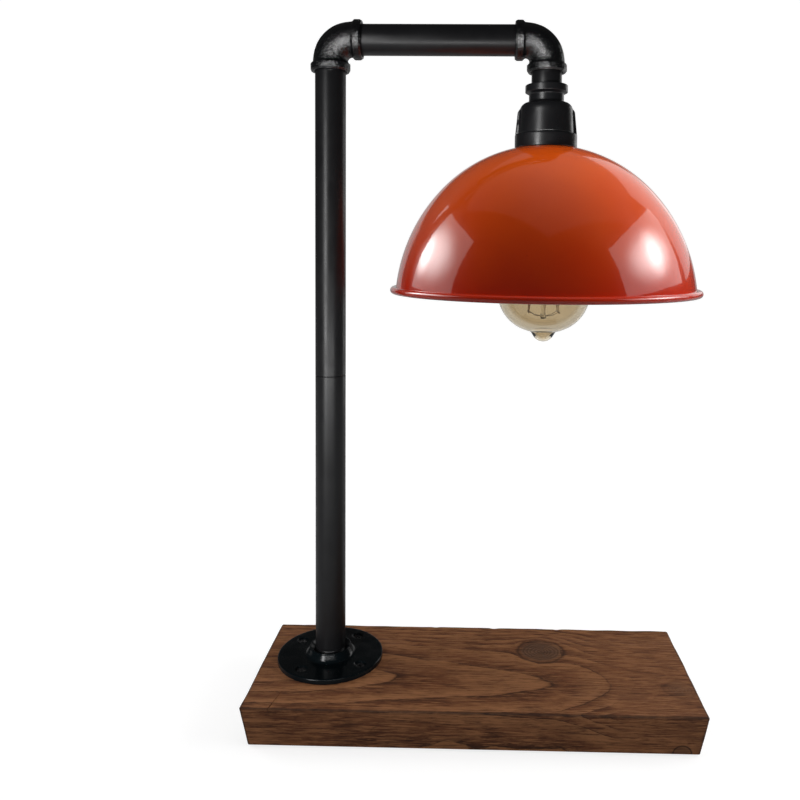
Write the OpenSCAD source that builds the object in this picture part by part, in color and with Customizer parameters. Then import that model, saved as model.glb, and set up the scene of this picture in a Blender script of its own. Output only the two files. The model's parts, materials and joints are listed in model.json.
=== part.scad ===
// Industrial pipe table lamp: a half-inch pipe post and arm on a wooden block, with a domed shade.
// Millimetres, +Z up. The origin is on the table, under the middle of the lamp's outer box.
// The arm runs along +X, and the cord inlet is in the block's back face, towards +Y.

/* [Block] */
// Length of the wooden block at its top
block_l = 302; // [280:1:340]
// Depth of the wooden block at its top
block_d = 114; // [108:1:130]
// Thickness of the wooden block
block_h = 27; // [26:0.5:36]
// How far each side leans in at the block's foot
block_lean = 4.2; // [1:0.1:5]
// Radius of the block's top edges
block_round = 2; // [1:0.1:3]
// Post's axis to the block's left end
post_from_left = 47.5; // [44:0.5:56]
// Post's axis to the block's back edge
post_from_back = 48; // [46:0.5:56]
// Thickness of the rubber pads
pad_t = 1.5; // [1:0.1:4]
// Diameter of the rubber pads
pad_d = 14; // [10:0.5:18]
// Pad's centre to the block's ends and sides
pad_inset = 18; // [16:0.5:22]

/* [Wiring in the block] */
// Diameter of the cable hole under the post
cable_hole_d = 13; // [11:0.5:15]
// Width of the channel from the cable hole to the chamber
channel_w = 12; // [10:0.5:14]
// Post's axis to the near end of the wiring chamber
chamber_from_post = 33; // [31:0.5:38]
// Length of the wiring chamber
chamber_l = 70; // [62:1:84]
// Width of the wiring chamber
chamber_w = 40; // [38:1:44]
// Height of the chamber above the block's underside
chamber_h = 17; // [16:0.5:20]
// Thickness of the cover plate
cover_t = 2; // [1.5:0.1:2.5]
// Width of the rim that the cover plate seats on
cover_rim = 8; // [7:0.5:9]
// Play round the cover plate in its recess
cover_play = 0.3; // [0.2:0.05:0.5]
// Diameter of the cover screws
cover_screw_d = 3; // [2.5:0.1:3.5]
// Length of the cover screws
cover_screw_l = 12; // [10:0.5:14]
// Width of one pole of the terminal block
pole_pitch = 9; // [8:0.5:10]
// Length of the terminal block along its poles
terminal_l = 17; // [15:0.5:20]
// Height of the terminal block
terminal_h = 12; // [11:0.5:13]
// Outer diameter of the brass terminal tubes
tube_d = 5.2; // [4.6:0.1:5.6]
// Bore of the brass terminal tubes
tube_bore = 3.4; // [3:0.1:3.6]
// Diameter of the terminal screws
terminal_screw_d = 2.6; // [2.2:0.1:2.8]
// Bore of the cord bush
bush_bore = 7.2; // [6.5:0.1:7.5]
// Wall of the cord bush
bush_wall = 1.8; // [1.5:0.1:2]
// Width of the bush's flange beyond its wall
bush_flange_w = 2.4; // [1.5:0.1:3]
// Thickness of the bush's flange
bush_flange_t = 2; // [1.5:0.1:3]
// Height of the bush's axis above the block's underside
bush_up = 10.5; // [10:0.1:11]

/* [Floor flange] */
// Diameter of the floor flange
flange_d = 75; // [74:0.5:80]
// Thickness of the flange's plate
flange_t = 3.5; // [3:0.1:5]
// Height of the flange's hub above the block
hub_h = 9; // [8:0.5:14]
// Diameter of the hub at its top
hub_top_d = 29.2; // [28:0.1:31]
// Diameter of the hub at the plate
hub_foot_d = 32; // [31.5:0.1:34]
// Diameter of the countersink in the hub's mouth
hub_mouth_d = 26.8; // [25:0.1:27]
// Depth of that countersink
hub_mouth_h = 2.8; // [1:0.1:4]
// Diameter of the circle of screw holes
screw_circle_d = 57; // [55:0.5:59]
// Angle of the first screw hole from the arm
screw_angle = 56; // [45:1:70]
// Number of flange screws
flange_screws_n = 4; // [3:1:4]
// Shank diameter of the flange screws
flange_screw_d = 3.8; // [3.5:0.1:4]
// Head diameter of the flange screws
flange_screw_head_d = 7.2; // [7:0.1:7.6]
// Length of the flange screws in the wood
flange_screw_l = 16; // [12:0.5:18]

/* [Pipes and elbows] */
// Outer diameter of half-inch pipe
pipe_d = 21.3; // [21:0.1:21.6]
// Bore of half-inch pipe
pipe_bore = 16; // [15:0.1:16.6]
// Length of the post's lower pipe
lower_l = 205; // [150:1:260]
// Length of the post's upper pipe
upper_l = 221.3; // [160:0.1:280]
// Length of the arm's pipe
arm_l = 124.6; // [120:0.1:180]
// Length of the inner sleeve that joins the post's pipes
sleeve_l = 44; // [30:1:60]
// Bore of the inner sleeve
sleeve_bore = 11; // [9:0.5:13]
// Elbow's centre to each end
elbow_reach = 22.2; // [21.5:0.1:26]
// Radius of the elbow's bend, on its centre line
elbow_bend = 15; // [14:0.1:15.4]
// Outer diameter of the elbow's body
elbow_d = 24.2; // [23.8:0.1:25]
// Diameter of the bead at the elbow's ends
bead_d = 28; // [27:0.1:30]
// Width of that bead
bead_w = 5.4; // [4.5:0.1:5.6]
// Depth of the elbow's sockets
socket_depth = 10; // [8:0.1:10.5]
// Radial play of pipe in socket
thread_play = 0.05; // [0.02:0.01:0.08]
// Gap between a pipe's end and the bottom of its socket
end_gap = 0.5; // [0.3:0.1:1]

/* [Nipple and reducer] */
// Outer diameter of the nipple
nipple_d = 21; // [20.6:0.1:21.4]
// Bore of the nipple
nipple_bore = 15; // [14:0.1:16]
// Length of nipple that shows
nipple_show = 8.5; // [6:0.1:20]
// Height of the reducer
reducer_h = 43.4; // [42:0.1:48]
// Diameter of the reducer's collar on the shade
collar_d = 43.2; // [42:0.1:46]
// Height of the reducer's collar
collar_h = 9.6; // [8:0.1:11]
// Diameter of the bell just above the collar
bell_low_d = 38.6; // [38:0.1:40]
// Diameter of the bell at its shoulder
bell_top_d = 36; // [35.6:0.1:37]
// Height of the bell's shoulder above the seat
bell_h = 25.9; // [25.4:0.1:27]
// Radius of the rounded shoulder
shoulder_r = 5.6; // [5:0.1:6]
// Diameter of the reducer's neck
neck_d = 24.2; // [24:0.1:25]
// Diameter of the band round the nipple's socket
top_band_d = 29.4; // [28:0.1:31]
// Height of that band
top_band_h = 4.9; // [4:0.1:6]
// Width of the two ribs on the bell
rib_w = 5; // [3:0.1:7]
// Depth of the big socket for the lamp holder
big_socket_depth = 22; // [21.8:0.1:23]
// Depth of the nipple's socket in the reducer
small_socket_depth = 9; // [7:0.1:10]

/* [Shade] */
// Thickness of the spun steel
shade_t = 0.8; // [0.6:0.1:1.2]
// Radius of the shade's crown
crown_r = 98.8; // [90:0.1:115]
// How far the side arc's centre lies beyond the axis and below the crown's centre
side_shift = 12.2; // [8:0.1:16]
// Seat to the middle of the rolled rim
shade_drop = 98.4; // [90:0.1:104]
// Radius of the rolled rim's roll
roll_r = 2.35; // [2:0.05:3]

/* [Lamp holder] */
// Diameter of the holder's neck, in the shade and the reducer
holder_neck_d = 33; // [32.6:0.1:33.4]
// Play of the neck in the shade's hole
hole_play = 0.4; // [0.2:0.05:0.8]
// Diameter of the holder's flange under the shade
holder_flange_d = 41; // [39:0.1:44]
// Thickness of the holder's flange
holder_flange_t = 3; // [2.5:0.1:4]
// Diameter of the holder's skirt
skirt_d = 37; // [36:0.1:38]
// Length of the skirt below the flange
skirt_l = 14.6; // [12:0.1:15]
// Thickness of the fibre washer
washer_t = 1; // [0.8:0.1:1.5]
// Height of the lamp's contact above the shade's seat
contact_up = 8.2; // [8:0.1:8.4]
// Diameter of the ceramic insulator
insulator_d = 28.8; // [28.6:0.1:28.9]
// Thickness of the ceramic insulator
insulator_t = 4.5; // [4.3:0.1:4.6]
// Inner diameter of the screw shell
shell_bore = 26.9; // [26.8:0.1:27]
// Thickness of the screw shell
shell_t = 0.5; // [0.4:0.05:0.6]

/* [Bulb] */
// Length of the bulb from its contact to its pip
bulb_l = 142.5; // [138:0.5:146]
// Greatest diameter of the bulb
bulb_d = 65.2; // [60:0.1:70]
// Height of the bulb's rounded end, from its widest place down
bulb_bowl_h = 31.6; // [30:0.1:34]
// Height of the pip below the bowl
pip_h = 6.2; // [4:0.1:7]
// Diameter of the glass at the cap
bulb_neck_d = 25.6; // [25:0.1:25.8]
// Thickness of the glass
glass_t = 0.8; // [0.6:0.1:1.2]
// Length of the screw cap with its contact
cap_l = 27; // [26:0.1:28]
// Diameter over the cap's thread
cap_d = 26.2; // [26:0.05:26.2]
// Number of up and down strands of the filament
strands_n = 12; // [6:2:18]
// Diameter of the filament
filament_d = 0.5; // [0.4:0.05:0.7]
// Length of the filament's cage
cage_l = 50; // [44:1:52]
// How far the cage hangs below the bulb's widest place
cage_down = 17; // [12:0.5:20]
// Radius of the ring of upper hooks
cage_top_r = 9; // [7:0.1:10]
// Radius of the ring of lower hooks
cage_low_r = 12; // [10:0.1:14]
// Diameter of the wires that hold the filament
support_d = 0.6; // [0.5:0.05:0.8]
// Diameter of the glass stem at its press
stem_d = 9; // [8:0.1:10]
// Diameter of the glass rod below the press
stem_rod_d = 3.2; // [3:0.1:4]
// How far the glass rod reaches below the cage
stem_rod_below = 5; // [4:0.5:6]

/* [Inner flex] */
// Diameter of the flex
flex_d = 6.5; // [6:0.1:7]
// Radius of the flex's bends, on its centre line
flex_bend = 12; // [11.5:0.1:12.5]
// Diameter of one core of the flex
core_d = 2.2; // [1.8:0.1:2.4]
// Gap between two lengths of flex that meet at a joint
flex_gap = 0.3; // [0.3:0.05:0.6]

/* [Hidden] */
$fn = 96;
nudge = 0.01;

pipe_r = pipe_d / 2;
elbow_stop = elbow_reach - socket_depth;
reach = arm_l + 2 * (elbow_stop + end_gap);

// Heights, from the table up
top_z = pad_t + block_h;
foot_gap = 0.5;
seam_z = top_z + foot_gap + lower_l;
post_end_z = seam_z + upper_l;
arm_z = post_end_z + end_gap + elbow_stop;
seat_z = arm_z - elbow_reach - nipple_show - reducer_h;

// The shade's outline: a crown arc on the axis, and a side arc that meets it at 45 degrees
crown_z = seat_z - sqrt(pow(crown_r, 2) - pow(collar_d / 2, 2));
side_r = crown_r + side_shift * sqrt(2);
side_z = crown_z - side_shift;
rim_z = seat_z - shade_drop;
rim_wall_r = sqrt(pow(side_r, 2) - pow(rim_z - side_z, 2)) - side_shift;
roll_c = rim_wall_r - shade_t + roll_r;
rim_r = roll_c + roll_r;

// The block's rounded top edge keeps it this much short of its full length at each end
block_slant = norm([block_lean, block_h]);
block_edge = block_round * ((block_slant + block_lean) / block_h - block_h / block_slant);

// Places across the table
post_x = (post_from_left - block_edge - max(block_l - block_edge - post_from_left, reach + rim_r)) / 2;
head_x = post_x + reach;
block_x = post_x - post_from_left;
block_y = post_from_back - block_d;

// The wiring chamber and what is in it
chamber_x = post_x + chamber_from_post;
chamber_top = pad_t + chamber_h;
cover_x0 = post_x - cable_hole_d / 2 - cover_rim;
cover_x1 = chamber_x + chamber_l + cover_rim;
cover_w = chamber_w + 2 * cover_rim;
cover_screw_in = cover_rim / 2;
terminal_x = chamber_x + chamber_l / 2 - 2;
terminal_w = 3 * pole_pitch + 1;
terminal_z = chamber_top - terminal_h;
tube_z = terminal_z + terminal_h / 2;
tube_l = terminal_l - 2;
terminal_screw_x = tube_l / 4;
flex_z = pad_t + 9.5;
flex_end_x = chamber_x + 6;
bush_x = chamber_x + chamber_l / 2;
bush_z = pad_t + bush_up;
bush_r = bush_bore / 2 + bush_wall;
bush_flange_r = bush_r + bush_flange_w;
bush_play = 0.1;
bush_seat_low_z = bush_up - bush_flange_r - 0.5;
bush_seat_y = post_from_back - block_lean * (1 - bush_seat_low_z / block_h) - 0.2;
flange_screw_sink = 0.4;

// The holder, from the shade's seat
holder_top_z = seat_z + big_socket_depth - 0.4;
holder_roof_t = 1.6;
holder_flange_z = seat_z - shade_t - washer_t;
skirt_z = holder_flange_z - holder_flange_t - skirt_l;
contact_z = seat_z + contact_up;
contact_gap = 0.35;
spring_t = 0.5;
spring_h = 2;
spring_r = 4;
stud_r = 1.2;
insulator_z = contact_z + contact_gap + spring_t + spring_h;
insulator_top = insulator_z + insulator_t;
holder_screw_r = 2;
holder_screw_h = 1.6;
holder_screw_out = 8;
screw_slot_w = 0.6;
screw_slot_h = 0.8;
flex_low_z = holder_top_z - 0.5;
small_play = 0.1;

// The bulb, from its contact down
cap_rim_z = contact_z - cap_l;
tip_z = contact_z - bulb_l;
bowl_z = tip_z + pip_h + bulb_bowl_h;
bulb_r = bulb_d / 2;
cage_low_z = bowl_z - cage_down;
cage_top_z = cage_low_z + cage_l;
press_h = 4;
press_z = cage_top_z + 2 * press_h;
rod_end_z = cage_low_z - stem_rod_below;
rod_tip_h = 1;
root_play = 0.02;
// Heights of the wires' roots over the upper hooks, and over the rod's end
upper_root_h = 5;
lower_root_h = 2;

// The bulb's cap: a skirt, five turns of rolled thread and a roof that carries the glass ring
cap_skirt_h = 4;
cap_pitch = 3.6;
cap_turns = 5;
cap_crest = 0.8;
cap_thread_z = cap_rim_z + cap_skirt_h;
cap_roof_z = cap_thread_z + cap_turns * cap_pitch;
cap_top_z = cap_roof_z + 1.5;
cap_top_r = 8;
solder_h = 1;
solder_wire_r = 1.9;

function arc(cx, cz, r, a0, a1, n) =
    [for (i = [0:n]) let (a = a0 + (a1 - a0) * i / n) [cx + r * cos(a), cz + r * sin(a)]];
function bezier(p0, p1, p2, p3, n) =
    [for (i = [0:n]) let (t = i / n, s = 1 - t)
        s * s * s * p0 + 3 * s * s * t * p1 + 3 * s * t * t * p2 + t * t * t * p3];
function backwards(list) = [for (i = [len(list) - 1:-1:0]) list[i]];

// One side of the block seen end on, with its top edges rounded
function block_side(w, h, lean, r) =
    let (slope = atan(lean / h), len = norm([lean, h]), c = r * (len + lean) / h)
    concat([[lean, 0]],
           arc(c, h - r, r, 180 + slope, 90, 6),
           arc(w - c, h - r, r, 90, -slope, 6),
           [[w - lean, 0]]);

module at_post() translate([post_x, 0, 0]) children();
module at_head() translate([head_x, 0, 0]) children();
module rod(x, y, z, r, h) translate([x, y, z]) cylinder(r = r, h = h);
module pipe(r, bore, h) {
    edge = 0.3;
    difference() {
        rotate_extrude()
            polygon([[0, 0], [r - edge, 0], [r, edge], [r, h - edge], [r - edge, h], [0, h]]);
        translate([0, 0, -nudge]) cylinder(r = bore / 2, h = h + 2 * nudge);
    }
}
// A quarter bend that comes up from below and leaves along +X, with its centre lines meeting at 0
module quarter(bend, r) {
    translate([bend, 0, -bend]) rotate([90, 0, 0]) rotate([0, 0, 90])
        rotate_extrude(angle = 90) translate([bend, 0]) circle(r = r);
}
// A round bar between two points
module bar(a, b, r) {
    d = b - a;
    translate(a) rotate([0, acos(d[2] / norm(d)), atan2(d[1], d[0])]) cylinder(r = r, h = norm(d));
}
// A countersunk screw whose head's top is at 0 and whose point is down
module screw(shank_r, head_r, l) {
    head_h = head_r - shank_r;
    tip_h = shank_r * 1.6;
    slot_w = head_r * 0.3;
    difference() {
        rotate_extrude()
            polygon([[0, 0], [head_r, 0], [shank_r, -head_h], [shank_r, tip_h - l], [0, -l]]);
        for (a = [0, 90]) rotate([0, 0, a])
            translate([-head_r * 0.6, -slot_w / 2, -head_h * 0.6])
                cube([head_r * 1.2, slot_w, head_h]);
    }
}

module block_blank() {
    intersection() {
        translate([block_x, block_y + block_d, pad_t]) rotate([90, 0, 0])
            linear_extrude(block_d) polygon(block_side(block_l, block_h, block_lean, block_round));
        translate([block_x, block_y, pad_t]) rotate([90, 0, 90])
            linear_extrude(block_l) polygon(block_side(block_d, block_h, block_lean, block_round));
    }
}

module cover_outline(play, h) {
    translate([cover_x0 + play, -cover_w / 2 + play, 0])
        cube([cover_x1 - cover_x0 - 2 * play, cover_w - 2 * play, h]);
}

module cover_screw_places() {
    for (x = [cover_x0 + cover_screw_in, cover_x1 - cover_screw_in], y = [-1, 1])
        translate([x, y * (cover_w / 2 - cover_screw_in), pad_t]) children();
}

module flange_screw_places() {
    at_post() for (i = [0:flange_screws_n - 1])
        rotate([0, 0, screw_angle + i * 360 / flange_screws_n])
            translate([screw_circle_d / 2, 0, top_z]) children();
}

module wood_base() color("#5b3016") {
    difference() {
        block_blank();
        rod(post_x, 0, 0, cable_hole_d / 2, top_z + 1);
        translate([0, 0, pad_t - nudge]) cover_outline(0, cover_t + nudge);
        translate([post_x, -channel_w / 2, pad_t]) cube([chamber_from_post + 1, channel_w, chamber_h - 1]);
        translate([chamber_x, -chamber_w / 2, pad_t]) cube([chamber_l, chamber_w, chamber_h]);
        translate([bush_x, 0, bush_z]) rotate([-90, 0, 0])
            cylinder(r = bush_r + bush_play, h = post_from_back + 1);
        translate([bush_x, bush_seat_y, bush_z]) rotate([-90, 0, 0])
            cylinder(r = bush_flange_r + 0.3, h = block_lean + 2);
        cover_screw_places() cylinder(r = cover_screw_d / 2 + 0.02, h = cover_screw_l + 0.5);
        flange_screw_places() translate([0, 0, -flange_screw_l - 0.5])
            cylinder(r = flange_screw_d / 2 + 0.02, h = flange_screw_l + 1);
    }
}

module base_pads() color("#222222") {
    for (x = [block_x + pad_inset, block_x + block_l - pad_inset],
         y = [block_y + pad_inset, block_y + block_d - pad_inset])
        rod(x, y, 0, pad_d / 2, pad_t);
}

module cover_plate() color("#3a3a3c") {
    difference() {
        translate([0, 0, pad_t]) cover_outline(cover_play, cover_t);
        cover_screw_places() {
            translate([0, 0, -nudge]) cylinder(r = cover_screw_d / 2 + small_play, h = cover_t + 1);
            translate([0, 0, -nudge])
                cylinder(r1 = cover_screw_d + small_play, r2 = cover_screw_d / 2 + small_play,
                         h = cover_screw_d / 2);
        }
    }
}

module cover_screws() color("#9a9a9e") {
    cover_screw_places() rotate([180, 0, 0]) screw(cover_screw_d / 2, cover_screw_d, cover_screw_l);
}

module cord_bush() color("#1a1a1a") {
    sleeve_l0 = bush_seat_y - chamber_w / 2;
    translate([bush_x, bush_seat_y - sleeve_l0, bush_z]) rotate([-90, 0, 0]) difference() {
        union() {
            cylinder(r = bush_r, h = sleeve_l0 + nudge);
            translate([0, 0, sleeve_l0]) cylinder(r = bush_flange_r, h = bush_flange_t);
        }
        translate([0, 0, -1]) cylinder(r = bush_bore / 2, h = sleeve_l0 + bush_flange_t + 2);
    }
}

module pole_places() {
    for (i = [-1:1]) translate([terminal_x, i * pole_pitch, 0]) children();
}
module terminal_screw_places() {
    pole_places() for (s = [-1, 1]) translate([s * terminal_screw_x, 0, tube_z]) children();
}

module terminal_block() color("#e8e4d8") {
    difference() {
        translate([terminal_x - terminal_l / 2, -terminal_w / 2, terminal_z])
            cube([terminal_l, terminal_w, terminal_h]);
        pole_places() translate([-terminal_l, 0, tube_z]) rotate([0, 90, 0])
            cylinder(r = tube_d / 2 + small_play, h = 2 * terminal_l);
        terminal_screw_places() translate([0, 0, -terminal_h])
            cylinder(r = terminal_screw_d / 2 + 0.4, h = terminal_h);
    }
}

module terminal_tubes() color("#b8923a") {
    pole_places() difference() {
        translate([-tube_l / 2, 0, tube_z]) rotate([0, 90, 0]) cylinder(r = tube_d / 2, h = tube_l);
        translate([-tube_l, 0, tube_z]) rotate([0, 90, 0]) cylinder(r = tube_bore / 2, h = 2 * tube_l);
        for (s = [-1, 1]) translate([s * terminal_screw_x, 0, tube_z - tube_d])
            cylinder(r = terminal_screw_d / 2 + 0.02, h = tube_d);
    }
}

module terminal_screws() color("#c9b26a") {
    terminal_screw_places() translate([0, 0, -terminal_h / 2 + 0.5]) difference() {
        cylinder(r = terminal_screw_d / 2, h = terminal_h / 2 - 0.5 - core_d / 2 - small_play);
        translate([-terminal_screw_d, -screw_slot_w / 2, -nudge])
            cube([2 * terminal_screw_d, screw_slot_w, screw_slot_h]);
    }
}

module base_cores() color("#8a6a3a") {
    mouth_x = terminal_x - tube_l / 2 - 1;
    for (i = [-1:1])
        bar([flex_end_x + core_d * 0.6, i * core_d * 1.2, flex_z], [mouth_x, i * pole_pitch, tube_z],
            core_d / 2);
}

module floor_flange() color("#18191b") {
    foot_r = hub_foot_d / 2;
    fillet = 2;
    edge = 0.8;
    rim = 0.4;
    bore_r = pipe_r + thread_play;
    hole_r = flange_screw_d / 2 + small_play;
    sink_r = flange_screw_head_d / 2 + small_play;
    sink_z = flange_t - flange_screw_sink;
    difference() {
        at_post() translate([0, 0, top_z]) rotate_extrude()
            polygon(concat([[bore_r, hub_h - hub_mouth_h], [bore_r, 0], [flange_d / 2, 0],
                            [flange_d / 2, flange_t - edge], [flange_d / 2 - edge, flange_t]],
                           arc(foot_r + fillet, flange_t + fillet, fillet, 270, 180, 5),
                           [[hub_top_d / 2, hub_h - rim], [hub_top_d / 2 - rim, hub_h],
                            [hub_mouth_d / 2, hub_h]]));
        flange_screw_places() {
            translate([0, 0, -1]) cylinder(r = hole_r, h = flange_t + 2);
            translate([0, 0, sink_z - sink_r + hole_r]) cylinder(r1 = hole_r, r2 = sink_r, h = sink_r - hole_r);
            translate([0, 0, sink_z - nudge]) cylinder(r = sink_r, h = flange_t);
        }
    }
}

module flange_screws() color("#0e0e0f") {
    flange_screw_places() translate([0, 0, flange_t - flange_screw_sink])
        screw(flange_screw_d / 2, flange_screw_head_d / 2, flange_screw_l + flange_t - flange_screw_sink);
}

module post_lower_pipe() color("#1d1d1f") {
    at_post() translate([0, 0, top_z + foot_gap]) pipe(pipe_r, pipe_bore, lower_l);
}

module post_sleeve() color("#6d6d70") {
    at_post() translate([0, 0, seam_z - sleeve_l / 2])
        pipe(pipe_bore / 2 - thread_play, sleeve_bore, sleeve_l);
}

module post_upper_pipe() color("#1d1d1f") {
    at_post() translate([0, 0, seam_z]) pipe(pipe_r, pipe_bore, upper_l);
}

// A bent flex whose centre lines meet at 0, with one leg down and one along +X
module bent_flex(down_l, side_l) {
    r = flex_d / 2;
    quarter(flex_bend, r);
    translate([0, 0, -down_l]) cylinder(r = r, h = down_l - flex_bend + nudge);
    translate([flex_bend - nudge, 0, 0]) rotate([0, 90, 0]) cylinder(r = r, h = side_l - flex_bend + nudge);
}

module flex_stand() color("#2b2b2d") {
    translate([post_x, 0, flex_z]) rotate([180, 0, 0])
        bent_flex(post_end_z - flex_gap / 2 - flex_z, flex_end_x - post_x);
}

// An elbow with one leg down and one along +X; each leg's socket has its own bore
module elbow(down_r, side_r) {
    body_r = elbow_d / 2;
    bead_r = bead_d / 2;
    passage_r = pipe_bore / 2 + 0.2;
    flare_z = elbow_reach - bead_w - 1.6;
    leg_z = min(elbow_bend, flare_z) - nudge;
    module leg() rotate_extrude()
        polygon([[0, leg_z], [body_r, leg_z], [body_r, flare_z], [body_r + 1.1, flare_z + 0.6],
                 [bead_r, elbow_reach - bead_w], [bead_r, elbow_reach - 1.5],
                 [bead_r - 0.4, elbow_reach - 0.5], [bead_r - 1.2, elbow_reach], [0, elbow_reach]]);
    module socket(r) {
        translate([0, 0, elbow_stop]) cylinder(r = r, h = socket_depth + 1);
        translate([0, 0, elbow_stop - 4]) cylinder(r = passage_r, h = 6);
        translate([0, 0, elbow_reach - 0.6]) cylinder(r1 = r, r2 = r + 0.7, h = 0.7);
    }
    difference() {
        union() {
            quarter(elbow_bend, body_r);
            rotate([180, 0, 0]) leg();
            rotate([0, 90, 0]) leg();
        }
        quarter(elbow_bend, passage_r);
        rotate([180, 0, 0]) socket(down_r);
        rotate([0, 90, 0]) socket(side_r);
    }
}

module post_elbow() color("#141516") {
    r = pipe_r + thread_play;
    translate([post_x, 0, arm_z]) elbow(r, r);
}

module arm_pipe() color("#1d1d1f") {
    translate([post_x + elbow_stop + end_gap, 0, arm_z]) rotate([0, 90, 0]) pipe(pipe_r, pipe_bore, arm_l);
}

module flex_arm() color("#2b2b2d") {
    low_z = post_end_z + flex_gap / 2;
    end_x = head_x - elbow_stop - end_gap - flex_gap / 2;
    translate([post_x, 0, arm_z]) bent_flex(arm_z - low_z, end_x - post_x);
}

module head_elbow() color("#141516") {
    translate([head_x, 0, arm_z]) mirror([1, 0, 0])
        elbow(nipple_d / 2 + thread_play, pipe_r + thread_play);
}

module head_nipple() color("#1d1d1f") {
    low_z = seat_z + reducer_h - small_socket_depth;
    at_head() translate([0, 0, low_z])
        pipe(nipple_d / 2, nipple_bore, arm_z - elbow_stop - end_gap - low_z);
}

module reducer() color("#141516") {
    collar_r = collar_d / 2;
    neck_r = neck_d / 2;
    band_r = top_band_d / 2;
    band_z = reducer_h - top_band_h;
    edge = 0.6;
    at_head() translate([0, 0, seat_z]) difference() {
        union() {
            rotate_extrude()
                polygon(concat([[0, 0], [collar_r - edge, 0], [collar_r, edge], [collar_r, collar_h - 1],
                                [collar_r - 1, collar_h], [bell_low_d / 2 - 0.3, collar_h],
                                [bell_low_d / 2, collar_h + 0.9], [bell_top_d / 2, bell_h]],
                               arc(bell_top_d / 2 - shoulder_r, bell_h, shoulder_r, 12, 90, 7),
                               [[neck_r, bell_h + shoulder_r], [neck_r, band_z - 1.2],
                                [band_r - 0.8, band_z], [band_r, band_z + edge],
                                [band_r, reducer_h - edge], [band_r - edge, reducer_h],
                                [0, reducer_h]]));
            for (s = [-1, 1]) scale([s, 1, 1]) rotate([90, 0, 0]) translate([0, 0, -rib_w / 2])
                linear_extrude(rib_w)
                    polygon([[neck_r, collar_h - 1], [collar_r - 0.2, collar_h - 1],
                             [collar_r - 0.2, collar_h + 0.4], [bell_top_d / 2 + 1.8, bell_h - 1],
                             [bell_top_d / 2 + 0.6, bell_h + 0.6], [neck_r, bell_h + 1]]);
        }
        translate([0, 0, -1]) cylinder(r = holder_neck_d / 2 + thread_play, h = big_socket_depth + 1);
        translate([0, 0, 1]) cylinder(r = pipe_bore / 2, h = reducer_h);
        translate([0, 0, reducer_h - small_socket_depth - end_gap])
            cylinder(r = nipple_d / 2 + thread_play, h = reducer_h);
    }
}

module holder_body() color("#161616") {
    neck_r = holder_neck_d / 2;
    at_head() difference() {
        union() {
            translate([0, 0, holder_flange_z - 1])
                cylinder(r = neck_r, h = holder_top_z - holder_flange_z + 1);
            translate([0, 0, holder_flange_z - holder_flange_t])
                cylinder(r = holder_flange_d / 2, h = holder_flange_t);
            translate([0, 0, skirt_z])
                cylinder(r1 = skirt_d / 2 - 0.8, r2 = skirt_d / 2, h = skirt_l + nudge);
        }
        translate([0, 0, skirt_z - 1])
            cylinder(r = insulator_d / 2 + small_play, h = insulator_top - skirt_z + 1);
        translate([0, 0, insulator_top - 1])
            cylinder(r = insulator_d / 2 - 1, h = holder_top_z - holder_roof_t - insulator_top + 1);
        translate([0, 0, insulator_top]) cylinder(r = flex_d / 2 + 2.8, h = big_socket_depth);
    }
}

module holder_insulator() color("#f1efe8") {
    at_head() difference() {
        rod(0, 0, insulator_z, insulator_d / 2, insulator_t);
        rod(0, 0, insulator_z - 1, stud_r + small_play, 2.5);
    }
}

module holder_shell() color("#b8923a") {
    bore_r = shell_bore / 2;
    low_z = skirt_z + 2;
    at_head() difference() {
        rod(0, 0, low_z, bore_r + shell_t, insulator_z - low_z);
        rod(0, 0, low_z - 1, bore_r, insulator_z - 0.6 - low_z + 1);
        rod(0, 0, low_z, 9.5, insulator_z);
    }
}

module holder_contact() color("#c9a04a") {
    at_head() {
        rod(0, 0, contact_z + contact_gap, spring_r, spring_t);
        rod(0, 0, contact_z + contact_gap, stud_r, spring_t + spring_h + 1);
    }
}

module holder_screw_places() {
    at_head() for (a = [90, 210, 330]) rotate([0, 0, a])
        translate([holder_screw_out, 0, insulator_top]) children();
}

module holder_screws() color("#c9b26a") {
    holder_screw_places() difference() {
        cylinder(r = holder_screw_r, h = holder_screw_h);
        translate([-holder_screw_r, -screw_slot_w / 2, holder_screw_h - screw_slot_h])
            cube([2 * holder_screw_r, screw_slot_w, 1]);
    }
}

module shade_washer() color("#7a2f22") {
    at_head() difference() {
        rod(0, 0, holder_flange_z, holder_flange_d / 2, washer_t);
        rod(0, 0, holder_flange_z - 1, holder_neck_d / 2 + hole_play, washer_t + 2);
    }
}

// The shade's outline from its seat to its rim, moved inwards by t
function dome(t) =
    let (seat_a = acos((collar_d / 2) / crown_r), rim_a = asin((rim_z - side_z) / side_r))
    concat(arc(0, crown_z, crown_r - t, seat_a, 45, 14),
           arc(-side_shift, side_z, side_r - t, 45, rim_a, 18));

module shade() color("#e2571c") {
    hole_r = holder_neck_d / 2 + hole_play;
    at_head() union() {
        rotate_extrude()
            polygon(concat([[hole_r, seat_z - shade_t], [hole_r, seat_z]], dome(0), backwards(dome(shade_t))));
        rotate_extrude() translate([roll_c, rim_z]) circle(r = roll_r);
    }
}

module flex_head() color("#2b2b2d") {
    translate([head_x, 0, arm_z]) rotate([0, 0, 180])
        bent_flex(arm_z - flex_low_z, elbow_stop + end_gap - flex_gap / 2);
}

module flex_cores() color("#8a6a3a") {
    end_z = insulator_top + holder_screw_h + core_d / 2;
    at_head() for (a = [90, 210, 330]) rotate([0, 0, a])
        bar([core_d * 0.62, 0, flex_low_z - core_d * 0.55], [holder_screw_out, 0, end_z], core_d / 2);
}

// The bulb's outline from its widest place down to its pip, moved inwards by t
function bowl(t) =
    let (power = 0.9, last = 19)
    [for (i = [0:last]) let (a = i * 4)
        [(bulb_r - t) * pow(cos(a), power), bowl_z - (bulb_bowl_h - t) * pow(sin(a), power)]];
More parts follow.
